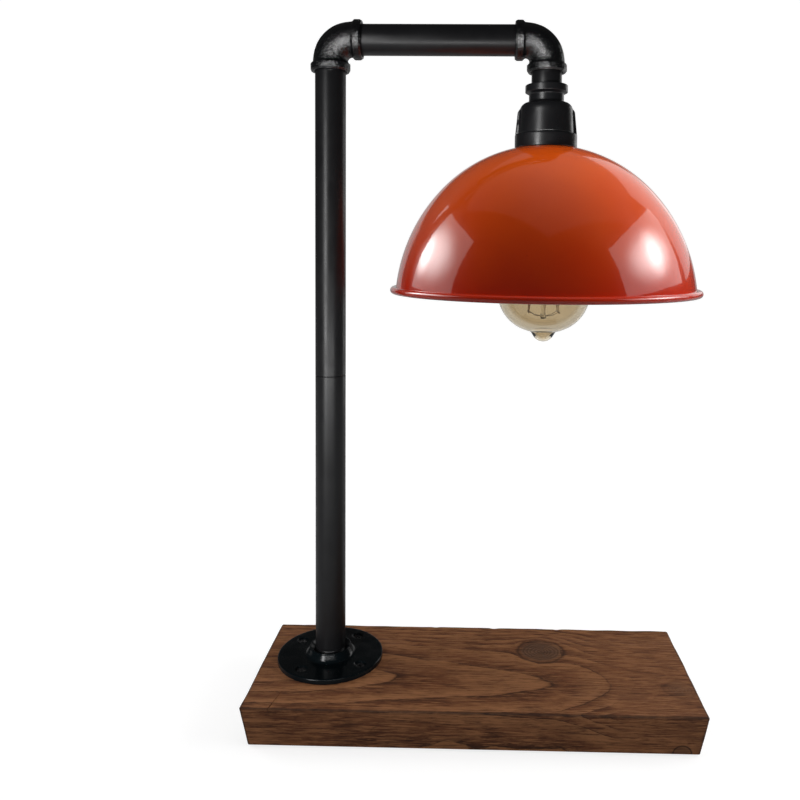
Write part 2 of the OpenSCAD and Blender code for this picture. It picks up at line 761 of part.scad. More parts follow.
// The bulb's outline from its neck down to its widest place
function shoulder(t) =
    bezier([bulb_neck_d / 2 - t, cap_rim_z], [bulb_neck_d / 2 + 1 - t, cap_rim_z - 38],
           [bulb_r - t, bowl_z + 36], [bulb_r - t, bowl_z], 22);

module bulb_glass() color([0.95, 0.85, 0.6, 0.35]) {
    bowl_end = bowl(0)[19];
    pip = bezier(bowl_end, [7, tip_z + pip_h * 0.8], [6.2, tip_z], [0, tip_z], 8);
    at_head() difference() {
        rotate_extrude() polygon(concat([[0, cap_rim_z]], shoulder(0), bowl(0), pip));
        rotate_extrude()
            polygon(concat([[0, cap_rim_z + nudge], [bulb_neck_d / 2 - glass_t, cap_rim_z + nudge]],
                           shoulder(glass_t), bowl(glass_t), [[0, bowl_z - bulb_bowl_h + glass_t]]));
    }
}

module bulb_stem() color([0.9, 0.9, 0.85, 0.5]) {
    flare_r = bulb_neck_d / 2 - glass_t - 0.3;
    stem_r = stem_d / 2;
    rod_r = stem_rod_d / 2;
    at_head() difference() {
        rotate_extrude()
            polygon(concat([[0, cap_rim_z - 0.5], [flare_r, cap_rim_z - 0.5]],
                           bezier([flare_r, cap_rim_z - 1.5], [stem_r + 1.5, cap_rim_z - 4],
                                  [stem_r, cap_rim_z - 8], [stem_r, press_z], 8),
                           [[rod_r, press_z - press_h], [rod_r, rod_end_z + rod_tip_h], [0, rod_end_z]]));
        support_wires(support_d / 2 + root_play);
    }
}

// The filament hangs in a zigzag between two rings of hooks
function hook(i) =
    let (a = i * 360 / strands_n, up = i % 2 == 0, r = up ? cage_top_r : cage_low_r)
    [r * cos(a), r * sin(a), up ? cage_top_z : cage_low_z];

// Wires of radius r, from their roots in the stem to the hooks
module support_wires(r) {
    for (i = [0:strands_n - 1]) {
        h = hook(i);
        up = i % 2 == 0;
        inwards = (stem_rod_d / 2 - 0.1) / norm([h[0], h[1]]);
        root_z = up ? cage_top_z + upper_root_h : rod_end_z + lower_root_h;
        bar([h[0] * inwards, h[1] * inwards, root_z], h + [0, 0, up ? 0.7 : -0.7], r);
    }
}

module bulb_supports() color("#8f8f92") {
    at_head() support_wires(support_d / 2);
}

module bulb_filament() color("#6b4a1a") {
    at_head() for (i = [0:strands_n - 2]) {
        bar(hook(i), hook(i + 1), filament_d / 2);
        translate(hook(i + 1)) sphere(r = filament_d / 2, $fn = 24);
    }
}

module bulb_cap() color("#b58a3c") {
    r = cap_d / 2;
    root_r = r - cap_crest;
    wall = 0.4;
    turn = [[-cap_crest, 0], [-0.25, cap_pitch * 0.25], [0, cap_pitch * 0.5], [-0.25, cap_pitch * 0.75]];
    thread = [for (k = [0:cap_turns - 1], p = turn) [r + p[0], cap_thread_z + k * cap_pitch + p[1]]];
    at_head() difference() {
        rotate_extrude()
            polygon(concat([[0, cap_rim_z], [r - 0.3, cap_rim_z]], thread,
                           [[root_r, cap_roof_z], [cap_top_r, cap_top_z], [0, cap_top_z]]));
        rod(0, 0, cap_rim_z - 1, root_r - wall, cap_roof_z - cap_rim_z + 1);
        rod(0, 0, cap_rim_z, cap_top_r - 2, cap_l);
    }
}

module bulb_insulator() color("#111111") {
    at_head() difference() {
        translate([0, 0, cap_top_z])
            cylinder(r1 = cap_top_r - 0.2, r2 = 5.2, h = contact_z - solder_h - cap_top_z);
        rod(0, 0, cap_top_z - 1, solder_wire_r + small_play, cap_l);
    }
}

module bulb_contact() color("#c8b070") {
    at_head() {
        translate([0, 0, contact_z - solder_h]) cylinder(r1 = 4.4, r2 = 3.4, h = solder_h);
        rod(0, 0, cap_top_z - 1, solder_wire_r, contact_z - cap_top_z + 0.5);
    }
}

wood_base();
base_pads();
cover_plate();
cover_screws();
cord_bush();
terminal_block();
terminal_tubes();
terminal_screws();
base_cores();
floor_flange();
flange_screws();
post_lower_pipe();
post_sleeve();
post_upper_pipe();
flex_stand();
post_elbow();
arm_pipe();
flex_arm();
head_elbow();
head_nipple();
reducer();
holder_body();
holder_insulator();
holder_shell();
holder_contact();
holder_screws();
shade_washer();
shade();
flex_head();
flex_cores();
bulb_glass();
bulb_stem();
bulb_supports();
bulb_filament();
bulb_cap();
bulb_insulator();
bulb_contact();
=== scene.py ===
"""Table lamp made of pipe and pipe fittings on a wooden block: its pieces, finishes and studio.

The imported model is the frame. Everything is in metres in that frame: +X along the arm, +Y to the
back and +Z up, with the table at 0. Sizes in millimetres are multiplied by MM.
"""
import json
import math

import bmesh
import bpy
import numpy as np
from bpy.props import FloatProperty, FloatVectorProperty, IntProperty, PointerProperty
from mathutils import Matrix, Vector, noise

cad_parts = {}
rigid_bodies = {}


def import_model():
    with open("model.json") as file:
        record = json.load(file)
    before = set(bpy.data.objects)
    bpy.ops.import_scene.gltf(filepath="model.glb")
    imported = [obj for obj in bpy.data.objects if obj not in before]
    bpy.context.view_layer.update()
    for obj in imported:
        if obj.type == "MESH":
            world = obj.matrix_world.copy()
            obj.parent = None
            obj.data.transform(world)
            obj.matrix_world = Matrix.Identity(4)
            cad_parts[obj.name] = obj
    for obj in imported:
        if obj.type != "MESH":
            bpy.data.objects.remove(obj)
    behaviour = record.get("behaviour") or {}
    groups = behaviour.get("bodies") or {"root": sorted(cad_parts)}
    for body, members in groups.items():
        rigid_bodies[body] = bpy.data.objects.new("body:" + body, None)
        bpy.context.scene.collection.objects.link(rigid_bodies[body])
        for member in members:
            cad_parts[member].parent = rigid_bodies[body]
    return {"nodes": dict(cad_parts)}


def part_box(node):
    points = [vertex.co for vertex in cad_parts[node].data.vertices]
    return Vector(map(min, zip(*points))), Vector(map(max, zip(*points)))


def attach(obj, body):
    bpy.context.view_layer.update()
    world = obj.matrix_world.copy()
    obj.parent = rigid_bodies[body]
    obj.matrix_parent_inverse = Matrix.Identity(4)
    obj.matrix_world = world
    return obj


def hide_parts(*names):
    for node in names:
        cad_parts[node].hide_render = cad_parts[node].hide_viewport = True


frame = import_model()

bl_info = {
    "name": "Pipe Table Lamp",
    "version": (1, 0, 0),
    "blender": (4, 5, 0),
    "location": "View3D > Sidebar > Pipe Lamp",
    "description": "Builds the pieces, finishes and studio of a table lamp made of pipe",
    "category": "Add Mesh",
}

MM = 0.001
TAU = 2 * math.pi
PLAY = 0.05 * MM  # round a pipe in its fitting
BRASS_SHEET = 0.35 * MM


# Places, read from the frame

def box(node):
    """Lowest and highest corner of a CAD node."""
    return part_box(node)


def middle(node):
    """Centre of a CAD node's box."""
    low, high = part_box(node)
    return (low + high) / 2


def wide(node, axis=0):
    """Size of a CAD node's box along an axis."""
    low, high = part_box(node)
    return high[axis] - low[axis]


POST = Vector((middle("post_lower_pipe").x, 0, 0))
HEAD = Vector((middle("shade").x, 0, 0))
ARM_Z = middle("arm_pipe").z
BLOCK_LOW, BLOCK_HIGH = box("wood_base")
SEAT_Z = box("reducer")[0].z


# Properties: the sizes and colours that a user would change

def length(name, text, default):
    return FloatProperty(name=name, description=text, default=default, min=0.0, unit="LENGTH")


def share(name, text, default):
    return FloatProperty(name=name, description=text, default=default, min=0.0, max=1.0, subtype="FACTOR")


def colour(name, text, default):
    return FloatVectorProperty(name=name, description=text, default=default, size=3, min=0.0, max=1.0,
                               subtype="COLOR")


def angle(name, text, degrees):
    return FloatProperty(name=name, description=text, default=math.radians(degrees), unit="ROTATION")


class LampBlock(bpy.types.PropertyGroup):
    lean: length("Lean", "How far each side leans in at the foot", 4.2 * MM)
    edge_round: length("Edge round", "Radius of the worn edges", 1.7 * MM)
    grid: length("Grid", "Spacing of the mesh on the sides", 1.2 * MM)
    early: colour("Early wood", "Lightest stain, inside each growth ring", (0.245, 0.108, 0.047))
    middle: colour("Middle wood", "Stain in the middle of a growth ring", (0.115, 0.042, 0.018))
    late: colour("Late wood", "Darkest stain, at the edge of a growth ring", (0.034, 0.012, 0.0065))
    chamber_from_post: length("Chamber start", "Post's axis to the wiring chamber", 33 * MM)
    chamber_length: length("Chamber length", "Length of the wiring chamber", 70 * MM)
    chamber_width: length("Chamber width", "Width of the wiring chamber", 40 * MM)
    chamber_height: length("Chamber height", "Height of the wiring chamber", 17 * MM)
    channel_width: length("Channel width", "Width of the wiring channel", 12 * MM)
    cable_hole: length("Cable hole", "Radius of the cable hole under the post", 6.5 * MM)


class LampPipes(bpy.types.PropertyGroup):
    bore: length("Bore", "Inner radius of the pipes", 8 * MM)
    nipple_bore: length("Nipple bore", "Inner radius of the nipple", 7.5 * MM)
    thread_pitch: length("Thread pitch", "Pitch of the pipe thread", 1.814 * MM)
    thread_depth: length("Thread depth", "Depth of the pipe thread", 0.9 * MM)
    thread_length: length("Thread length", "Length of thread on a pipe's end", 9.5 * MM)
    coat: colour("Powder coat", "Satin black coat on the pipes", (0.0065, 0.0065, 0.0072))


class LampFittings(bpy.types.PropertyGroup):
    elbow_reach: length("Elbow reach", "Elbow's centre to each end", 22.2 * MM)
    elbow_bend: length("Elbow bend", "Radius of the elbow's bend", 15 * MM)
    elbow_body: length("Elbow body", "Radius of the elbow's body", 12.1 * MM)
    socket_depth: length("Socket depth", "Depth of an elbow's socket", 10 * MM)
    passage: length("Passage", "Inner radius of the elbow's passage", 8.2 * MM)
    parting: length("Parting line", "Height of the line where the mould's halves met", 0.22 * MM)
    hub_height: length("Hub height", "Height of the flange's hub above the block", 9 * MM)
    hub_radius: length("Hub radius", "Radius of the hub at its top", 14.6 * MM)
    hub_foot: length("Hub foot", "Radius of the hub at the plate", 16 * MM)
    screw_circle: length("Screw circle", "Radius of the circle of screws", 28.5 * MM)
    screw_angle: angle("Screw angle", "First screw's angle from the arm", 56)
    screws: IntProperty(name="Screws", description="Number of flange screws", default=4, min=3, max=4)
    screw_head: length("Screw head", "Radius of a flange screw's head", 3.6 * MM)
    screw_shank: length("Screw shank", "Radius of a flange screw's shank", 1.9 * MM)
    casting: colour("Casting", "Black coat on the castings", (0.0065, 0.0068, 0.0078))
    flange: colour("Flange", "Blue-black coat on the flange", (0.0022, 0.0040, 0.0050))


class LampShade(bpy.types.PropertyGroup):
    sheet: length("Sheet", "Thickness of the spun steel", 0.8 * MM)
    crown: length("Crown radius", "Radius of the shade's crown", 98.8 * MM)
    side_shift: length("Side shift", "Side arc's centre beyond the axis and below the crown's", 12.2 * MM)
    roll: length("Roll", "Radius of the rolled rim", 2.35 * MM)
    outside: colour("Outside", "Orange enamel at the crown", (0.860, 0.104, 0.0010))
    # Painted shade: the enamel's colour near the rim, darker and redder than at the crown
    outside_shaded_rim: colour("Outside low", "Orange enamel, thicker at the rim", (0.600, 0.020, 0.0006))
    inside: colour("Inside", "White enamel", (0.780, 0.765, 0.720))


class LampBulb(bpy.types.PropertyGroup):
    glass: length("Glass", "Thickness of the glass", 0.8 * MM)
    bowl: length("Bowl", "Height of the rounded end", 31.6 * MM)
    pip: length("Pip", "Height of the pip", 6.2 * MM)
    neck: length("Neck", "Radius of the glass at the cap", 12.8 * MM)
    wire: length("Filament", "Radius of the filament", 0.24 * MM)
    strands: IntProperty(name="Strands", description="Up and down strands", default=12, min=6, max=18)
    tint: colour("Tint", "Champagne tint of the glass", (0.66, 0.57, 0.42))
    # Painted reflection: the paler tint where the glass is seen edge on
    painted_edge_reflection: colour("Edge tint", "Tint where the glass is seen edge on", (0.76, 0.73, 0.66))


class LampStudio(bpy.types.PropertyGroup):
    floor: colour("Floor", "Pale floor and backdrop", (0.32, 0.32, 0.32))
    glow: share("Glow", "Share of white that the floor adds of itself", 0.80)
    wall_glow: share("Wall glow", "Share of white that the backdrop adds of itself", 1.0)
    ambient: share("Ambient", "Strength of the grey world", 0.05)
    floor_mirrored: share("Floor mirrored", "Share of the floor's glow that shows in reflections", 0.20)
    wall_mirrored: share("Wall mirrored", "Share of the backdrop's glow that shows in reflections", 0.40)


# Outlines

def rounded(corners, steps=5):
    """A line through corners (radius, height, rounding), with each corner rounded."""
    points = []
    for i, (x, y, r) in enumerate(corners):
        here = Vector((x, y))
        if r == 0 or i in (0, len(corners) - 1):
            points.append((x, y))
            continue
        before = (Vector(corners[i - 1][:2]) - here).normalized()
        after = (Vector(corners[i + 1][:2]) - here).normalized()
        half = before.angle(after) / 2
        centre = here + (before + after).normalized() * (r / math.sin(half))
        start = here + before * (r / math.tan(half)) - centre
        turn = math.copysign(math.pi - 2 * half, before.cross(after) * -1)
        for k in range(steps + 1):
            points.append(tuple(centre + Matrix.Rotation(turn * k / steps, 2) @ start))
    return points


def arc(cx, cy, r, start, end, steps):
    """Points on an arc, with its angles in degrees."""
    angles = np.radians(np.linspace(start, end, steps + 1))
    return [(cx + r * math.cos(a), cy + r * math.sin(a)) for a in angles]


def bezier(p0, p1, p2, p3, steps):
    """Points on a cubic curve."""
    t = np.linspace(0, 1, steps + 1)[:, None]
    s = 1 - t
    line = s ** 3 * np.array(p0) + 3 * s * s * t * np.array(p1) + 3 * s * t * t * np.array(p2)
    return [tuple(p) for p in line + t ** 3 * np.array(p3)]


def dense(line, step):
    """A line with points added, so that they lie about a step apart."""
    points = []
    for (r0, z0), (r1, z1) in zip(line, line[1:]):
        count = max(1, round(math.hypot(r1 - r0, z1 - z0) / step))
        points += [(r0 + (r1 - r0) * k / count, z0 + (z1 - z0) * k / count) for k in range(count)]
    return points + [line[-1]]


# Meshes

def rings(count, turns, closed):
    """Faces that join rows of points round an axis, and the last row to the first if closed."""
    faces = []
    for i in range(count if closed else count - 1):
        a, b = i * turns, (i + 1) % count * turns
        for k in range(turns):
            n = (k + 1) % turns
            faces.append((a + k, a + n, b + n, b + k))
    return faces


def turned(profile, turns=96, closed=True, radius=None):
    """A profile of (radius, height) turned round Z. radius(r, z, angle) may change it."""
    angles = np.arange(turns) * TAU / turns
    rows = np.array(profile, float)
    r = np.repeat(rows[:, :1], turns, axis=1)
    z = np.repeat(rows[:, 1:], turns, axis=1)
    if radius:
        r = radius(r, z, np.broadcast_to(angles, r.shape))
    points = np.stack([r * np.cos(angles), r * np.sin(angles), z], axis=2).reshape(-1, 3)
    return points, rings(len(rows), turns, closed)


def mesh_of(name, points, faces, smooth=35):
    """A mesh from points and faces, welded, with its normals outwards and soft shading."""
    mesh = bpy.data.meshes.new(name)
    mesh.from_pydata([tuple(p) for p in points], [], faces)
    shape = bmesh.new()
    shape.from_mesh(mesh)
    bmesh.ops.remove_doubles(shape, verts=shape.verts, dist=2e-6)
    bmesh.ops.recalc_face_normals(shape, faces=shape.faces)
    shape.to_mesh(mesh)
    shape.free()
    soften(mesh, smooth)
    return mesh


def soften(mesh, degrees=35):
    """Smooth shading that stays sharp where faces meet at more than an angle."""
    mesh.shade_smooth()
    mesh.set_sharp_from_angle(angle=math.radians(degrees))


def solid(name, points, faces, place=Vector(), smooth=35):
    """An object from points and faces, with its place in its mesh."""
    mesh = mesh_of(name, np.asarray(points) + np.array(place), faces, smooth)
    piece = bpy.data.objects.new(name, mesh)
    bpy.context.scene.collection.objects.link(piece)
    return piece


def turned_piece(name, node, axis, profile, turns, smooth=35, closed=True, radius=None):
    """A profile turned round the post's or the head's axis, up from a CAD node's foot."""
    points, faces = turned(profile, turns, closed, radius)
    return solid(name, points, faces, axis + Vector((0, 0, box(node)[0].z)), smooth)


def copies(name, sets, faces):
    """One piece made of sets of points that share their faces."""
    step = len(sets[0])
    shifted = [tuple(i + n * step for i in face) for n in range(len(sets)) for face in faces]
    return solid(name, np.concatenate(sets), shifted)


def evaluated(piece):
    """Takes a piece's modifiers into its mesh."""
    graph = bpy.context.evaluated_depsgraph_get()
    mesh = bpy.data.meshes.new_from_object(piece.evaluated_get(graph))
    piece.modifiers.clear()
    piece.data = mesh
    return piece


def combine(piece, others):
    """Cuts other solids out of a piece, and removes them."""
    for other in others:
        change = piece.modifiers.new("cut", "BOOLEAN")
        change.object = other
        change.operation = "DIFFERENCE"
        change.solver = "MANIFOLD"
    evaluated(piece)
    for other in others:
        bpy.data.objects.remove(other)
    return piece


def rod(radius, low, high, place=Vector(), turns=48, direction="Z", top=None):
    """A plain round solid to cut with, along an axis."""
    profile = [(0, low), (radius, low), (radius if top is None else top, high), (0, high)]
    points, faces = turned(profile, turns, closed=False)
    turn = {"Z": Matrix.Identity(3), "Y": Matrix.Rotation(-math.pi / 2, 3, "X"),
            "X": Matrix.Rotation(math.pi / 2, 3, "Y")}[direction]
    return solid("cutter", points @ np.array(turn).T, faces, place)


def brick(low, high):
    """A plain box to cut with."""
    shape = bmesh.new()
    bmesh.ops.create_cube(shape, size=1)
    for v in shape.verts:
        v.co = [low[i] + (v.co[i] + 0.5) * (high[i] - low[i]) for i in range(3)]
    mesh = bpy.data.meshes.new("cutter")
    shape.to_mesh(mesh)
    shape.free()
    piece = bpy.data.objects.new("cutter", mesh)
    bpy.context.scene.collection.objects.link(piece)
    return piece


def uneven(piece, amount, size, where=None):
    """Sinks each point by smooth noise, up to amount, as a casting or worn wood has."""
    mesh = piece.data
    normals = [v.normal.copy() for v in mesh.vertices]
    for v, n in zip(mesh.vertices, normals):
        if where is None or where(v.co):
            v.co -= n * amount * (0.5 + 0.5 * noise.noise(v.co / size))
    mesh.update()


def wire(name, lines, radius):
    """Round wires along lines of points, as one piece."""
    curve = bpy.data.curves.new(name, "CURVE")
    curve.dimensions = "3D"
    curve.bevel_depth = radius
    curve.bevel_resolution = 3
    curve.use_fill_caps = True
    for points in lines:
        spline = curve.splines.new("POLY")
        spline.points.add(len(points) - 1)
        for target, p in zip(spline.points, points):
            target.co = (*p, 1)
    drawn = bpy.data.objects.new(name, curve)
    bpy.context.scene.collection.objects.link(drawn)
    graph = bpy.context.evaluated_depsgraph_get()
    mesh = bpy.data.meshes.new_from_object(drawn.evaluated_get(graph))
    bpy.data.objects.remove(drawn)
    mesh.name = name
    soften(mesh, 50)
    piece = bpy.data.objects.new(name, mesh)
    bpy.context.scene.collection.objects.link(piece)
    return piece


def fit(piece, body, slot, finish, *nodes):
    """Puts a piece on its body, gives it its finish, and hides the nodes it stands for. The slot is not
    used.
    """
    if finish is not None:
        piece.data.materials.clear()
        piece.data.materials.append(finish)
    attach(piece, body)
    if nodes:
        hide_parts(*nodes)
    return piece


def dress(node, finish, bevel=0.0):
    """Gives a CAD node its finish and, when a bevel width is given, lightly broken edges."""
    piece = frame["nodes"][node]
    piece.data.materials.clear()
    piece.data.materials.append(finish)
    if bevel:
        edge = piece.modifiers.new("broken edges", "BEVEL")
        edge.width = bevel
        edge.segments = 2
        edge.limit_method = "ANGLE"
        edge.angle_limit = math.radians(50)
    return piece


# Finishes

class Finish:
    """A material, and short calls that wire its nodes."""

    def __init__(self, name, base=(0.5, 0.5, 0.5), **sockets):
        self.material = bpy.data.materials.new(name)
        self.material.use_nodes = True
        self.tree = self.material.node_tree
        self.surface = self.tree.nodes["Principled BSDF"]
        self.surface.inputs["Base Color"].default_value = (*base, 1)
        for socket, value in sockets.items():
            self.surface.inputs[socket.replace("_", " ")].default_value = value

    def node(self, kind, **settings):
        made = self.tree.nodes.new(kind)
        for key, value in settings.items():
            setattr(made, key, value)
        return made

    def put(self, socket, value):
        """Links a socket to an output, or sets its value."""
        if isinstance(value, bpy.types.NodeSocket):
            self.tree.links.new(value, socket)
        elif value is not None:
            socket.default_value = value

    def place(self, scale=(1, 1, 1), origin=(0, 0, 0)):
        """Object coordinates less an origin, times a scale for each axis."""
        where = self.node("ShaderNodeTexCoord")
        moved = self.node("ShaderNodeVectorMath", operation="SUBTRACT")
        self.put(moved.inputs[0], where.outputs["Object"])
        self.put(moved.inputs[1], tuple(origin))
        scaled = self.node("ShaderNodeVectorMath", operation="MULTIPLY")
        self.put(scaled.inputs[0], moved.outputs[0])
        self.put(scaled.inputs[1], tuple(scale))
        return scaled.outputs[0]

    def noise(self, vector, scale=1.0, detail=3.0, roughness=0.55, distortion=0.0):
        made = self.node("ShaderNodeTexNoise")
        self.put(made.inputs["Vector"], vector)
        for key, value in (("Scale", scale), ("Detail", detail), ("Roughness", roughness),
                           ("Distortion", distortion)):
            self.put(made.inputs[key], value)
        return made.outputs["Fac"]

    def split(self, vector):
        """The three parts of a vector."""
        made = self.node("ShaderNodeSeparateXYZ")
        self.put(made.inputs[0], vector)
        return made.outputs

    def sum(self, operation, a, b=None, c=None, clamp=False):
        made = self.node("ShaderNodeMath", operation=operation, use_clamp=clamp)
        for socket, value in zip(made.inputs, (a, b, c)):
            self.put(socket, value)
        return made.outputs[0]

    def plus(self, a, b, clamp=False):
        return self.sum("ADD", a, b, clamp=clamp)

    def less(self, a, b, clamp=False):
        return self.sum("SUBTRACT", a, b, clamp=clamp)

    def times(self, a, b):
        return self.sum("MULTIPLY", a, b)

    def absolute(self, a):
        return self.sum("ABSOLUTE", a)

    def ridge(self, value, crest, half_width):
        """1 where a value is at the crest, falling to 0 at half a width from it."""
        gap = self.absolute(self.less(value, crest))
        return self.less(1.0, self.sum("DIVIDE", gap, half_width), clamp=True)

    def spread(self, value, low, high, to_low=0.0, to_high=1.0, smooth=False):
        """Maps a value's range onto another, clamped."""
        made = self.node("ShaderNodeMapRange", clamp=True)
        made.interpolation_type = "SMOOTHSTEP" if smooth else "LINEAR"
        for key, number in (("From Min", low), ("From Max", high), ("To Min", to_low), ("To Max", to_high)):
            self.put(made.inputs[key], number)
        self.put(made.inputs["Value"], value)
        return made.outputs["Result"]

    def ramp(self, value, stops):
        made = self.node("ShaderNodeValToRGB")
        ends = made.color_ramp.elements
        while len(ends) < len(stops):
            ends.new(0.5)
        for element, (place, shade) in zip(ends, stops):
            element.position = place
            element.color = (*shade, 1)
        self.put(made.inputs[0], value)
        return made.outputs["Color"]

    def mix(self, amount, a, b):
        """Blends from one colour, at 0, to another, at 1."""
        made = self.node("ShaderNodeMix", data_type="RGBA")
        self.put(made.inputs["Factor"], amount)
        colours = [s for s in made.inputs if s.type == "RGBA"]
        for socket, value in zip(colours, (a, b)):
            self.put(socket, (*value, 1) if isinstance(value, tuple) and len(value) == 3 else value)
        return next(s for s in made.outputs if s.type == "RGBA")

    def bump(self, height, distance, strength=1.0):
        """A normal from a height from 0 to 1 that stands for a distance."""
        made = self.node("ShaderNodeBump")
        self.put(made.inputs["Strength"], strength)
        self.put(made.inputs["Distance"], distance)
        self.put(made.inputs["Height"], height)
        return made.outputs["Normal"]

    def set(self, **outputs):
        """Links outputs to the shader's own sockets and returns the material."""
        for socket, output in outputs.items():
            self.put(self.surface.inputs[socket.replace("_", " ")], output)
        return self.material


def mottled(finish, base, size, amount):
    """A base colour that varies a little over patches of a size."""
    patches = finish.noise(finish.place(), 1 / size, 3)
    low = tuple(c * (1 - amount) for c in base)
    high = tuple(min(1.0, c * (1 + amount)) for c in base)
    return finish.mix(patches, low, high)


def coated(name, base, rough, grain, grain_size, gloss=0.5, mottle=0.25):
    """A black coat over metal: roughness varies in patches, and grain stands up by a height."""
    finish = Finish(name, base, Roughness=rough)
    finish.surface.inputs["Specular IOR Level"].default_value = gloss
    where = finish.place()
    patches = finish.noise(where, 1 / (14 * MM), 4)
    fine = finish.noise(where, 1 / grain_size, 5, 0.6)
    coarse = finish.noise(where, 1 / (grain_size * 4.5), 3)
    height = finish.sum("MULTIPLY_ADD", coarse, 0.7, fine)
    return finish.set(
        Base_Color=mottled(finish, base, 9 * MM, mottle),
        Roughness=finish.spread(patches, 0.3, 0.7, rough - 0.06, rough + 0.06),
        Normal=finish.bump(height, grain))


def moulded(name, base, rough, grain=0.03 * MM, mottle=0.08):
    """Moulded plastic, rubber or ceramic with a fine texture."""
    finish = Finish(name, base, Roughness=rough)
    fine = finish.noise(finish.place(), 1 / (0.7 * MM), 4)
    return finish.set(
        Base_Color=mottled(finish, base, 5 * MM, mottle),
        Roughness=finish.spread(fine, 0.3, 0.7, rough - 0.05, rough + 0.05),
        Normal=finish.bump(fine, grain))


def plain_metal(name, base, rough, tarnish, metallic=1.0):
    """Bare metal with patches of tarnish and fine scratches."""
    finish = Finish(name, base, Roughness=rough, Metallic=metallic)
    where = finish.place()
    patches = finish.noise(where, 1 / (4 * MM), 4, 0.6)
    scratches = finish.noise(where, 1 / (0.5 * MM), 3)
    return finish.set(
        Base_Color=finish.mix(finish.spread(patches, 0.42, 0.75), base, tarnish),
        Roughness=finish.spread(scratches, 0.3, 0.7, rough - 0.08, rough + 0.1),
        Normal=finish.bump(scratches, 0.01 * MM))


def enamel(name, base, shaded_base, peel):
    """Gloss enamel under a clear coat: faint orange peel, slow waves, and painted shade that makes the
    colour darker and redder towards the rim.
    """
    finish = Finish(name, base, Roughness=0.22, Coat_Weight=1.0, Coat_Roughness=0.04, Coat_IOR=1.5)
    finish.surface.inputs["Specular IOR Level"].default_value = 0.15
    where = finish.place()
    waves = finish.noise(where, 1 / (26 * MM), 3, 0.35)
    fine = finish.noise(where, 1 / (2.6 * MM), 2, 0.5)
    normal = finish.bump(finish.sum("MULTIPLY_ADD", fine, 0.02, waves), peel)
    # Painted shade: the colour darkens and reddens from the crown down to the rim, and the slow waves add
    # random tone
    rim_z, crown_z = box("shade")[0].z, box("shade")[1].z
    painted_light_and_waves = finish.spread(finish.split(where)[2], rim_z, crown_z - 12 * MM)
    painted_light_and_waves = finish.plus(painted_light_and_waves, finish.times(finish.less(waves, 0.5), 0.25), clamp=True)
    shade = finish.mix(painted_light_and_waves, shaded_base, base)
    specks = finish.noise(where, 1 / (0.9 * MM), 2, 0.7)
    shade = finish.mix(finish.spread(specks, 0.70, 0.80), shade, tuple(c * 0.7 for c in shaded_base))
    return finish.set(Base_Color=shade, Normal=normal, Coat_Normal=normal)


def clear_glass(name, tint, painted_edge_reflection=None):
    """Blown glass with slow ripples; it may carry painted reflection: paler where it's seen edge on, past a
    painted dark line.
    """
    finish = Finish(name, tint, Roughness=0.0, Transmission_Weight=1.0, IOR=1.46)
    ripples = finish.noise(finish.place((1, 1, 0.25)), 1 / (12 * MM), 2, 0.5)
    smoke = finish.noise(finish.place((1, 1, 0.5)), 1 / (20 * MM), 3)
    shade = finish.mix(finish.spread(smoke, 0.35, 0.7), tint, tuple(c * 0.93 for c in tint))
    if painted_edge_reflection:
        # Painted reflection: the glass turns paler where it's seen edge on
        facing = finish.node("ShaderNodeLayerWeight").outputs["Facing"]
        shade = finish.mix(finish.spread(facing, 0.40, 0.52, smooth=True), shade, painted_edge_reflection)
        # Painted dark line where the paler edge begins, standing for a reflected edge
        line = finish.ridge(facing, 0.42, 1 / 22)
        shade = finish.mix(finish.times(line, 0.6), shade, tuple(c * 0.72 for c in tint))
    return finish.set(Base_Color=shade, Normal=finish.bump(ripples, 0.05 * MM))


# The block's wood. Places on it are in millimetres along X and Y from the post's axis, and up from its top.

KNOTS = (
    # x, y, radius and how strongly it shows, on the top
    (153.0, 12.5, 14.5, 1.0),
    (243.0, -34.0, 9.0, 0.5),
)
# x, z and radius of the half knot that the front face cuts at the foot, and the face's own Y
FRONT_KNOT = (238.0, -27.0, 6.0)
FRONT_FROM, FRONT_TO = -56, -60
# The rings seen from above are tongues that point to the right: a ring that is r mm from the pith ends
# where the pith's depth, squared, is r squared. The square is DEPTH_SQUARE at DEPTH_FROM and grows by
# DEPTH_SLOPE for each mm along X, and by STEEP_BY more from STEEP_FROM on. The figure fades to plain wood
# between PLAIN_FROM and PLAIN_TO.
PITH_Y = -25.0
DEPTH_FROM, DEPTH_SQUARE, DEPTH_SLOPE = 108.0, 900.0, 7.0
STEEP_FROM, STEEP_BY = 160.0, 22.6
PLAIN_FROM, PLAIN_TO, PLAIN_SHARE = 188, 202, 0.80
# Rings are wide near the pith and narrow beyond this distance from it
WIDE_RINGS_END = 48.4
WIDE_RING, NARROW_RING = 13.0, 5.0

RED_STAIN = (0.185, 0.066, 0.026)
RING_LINE = (0.016, 0.006, 0.004)
KNOT_DARK = (0.046, 0.024, 0.015)
KNOT_RIM = (0.018, 0.009, 0.006)
KNOT_CRACK = (0.006, 0.004, 0.003)
KNOT_RINGS = [(0.0, (0.040, 0.020, 0.012)), (0.5, (0.095, 0.050, 0.030)),
              (0.9, (0.125, 0.070, 0.042)), (1.0, (0.045, 0.023, 0.014))]
FRONT_KNOT_CORE = (0.085, 0.042, 0.022)
FRONT_KNOT_RIM = (0.008, 0.005, 0.004)
EDGE_STAIN = (0.016, 0.008, 0.006)


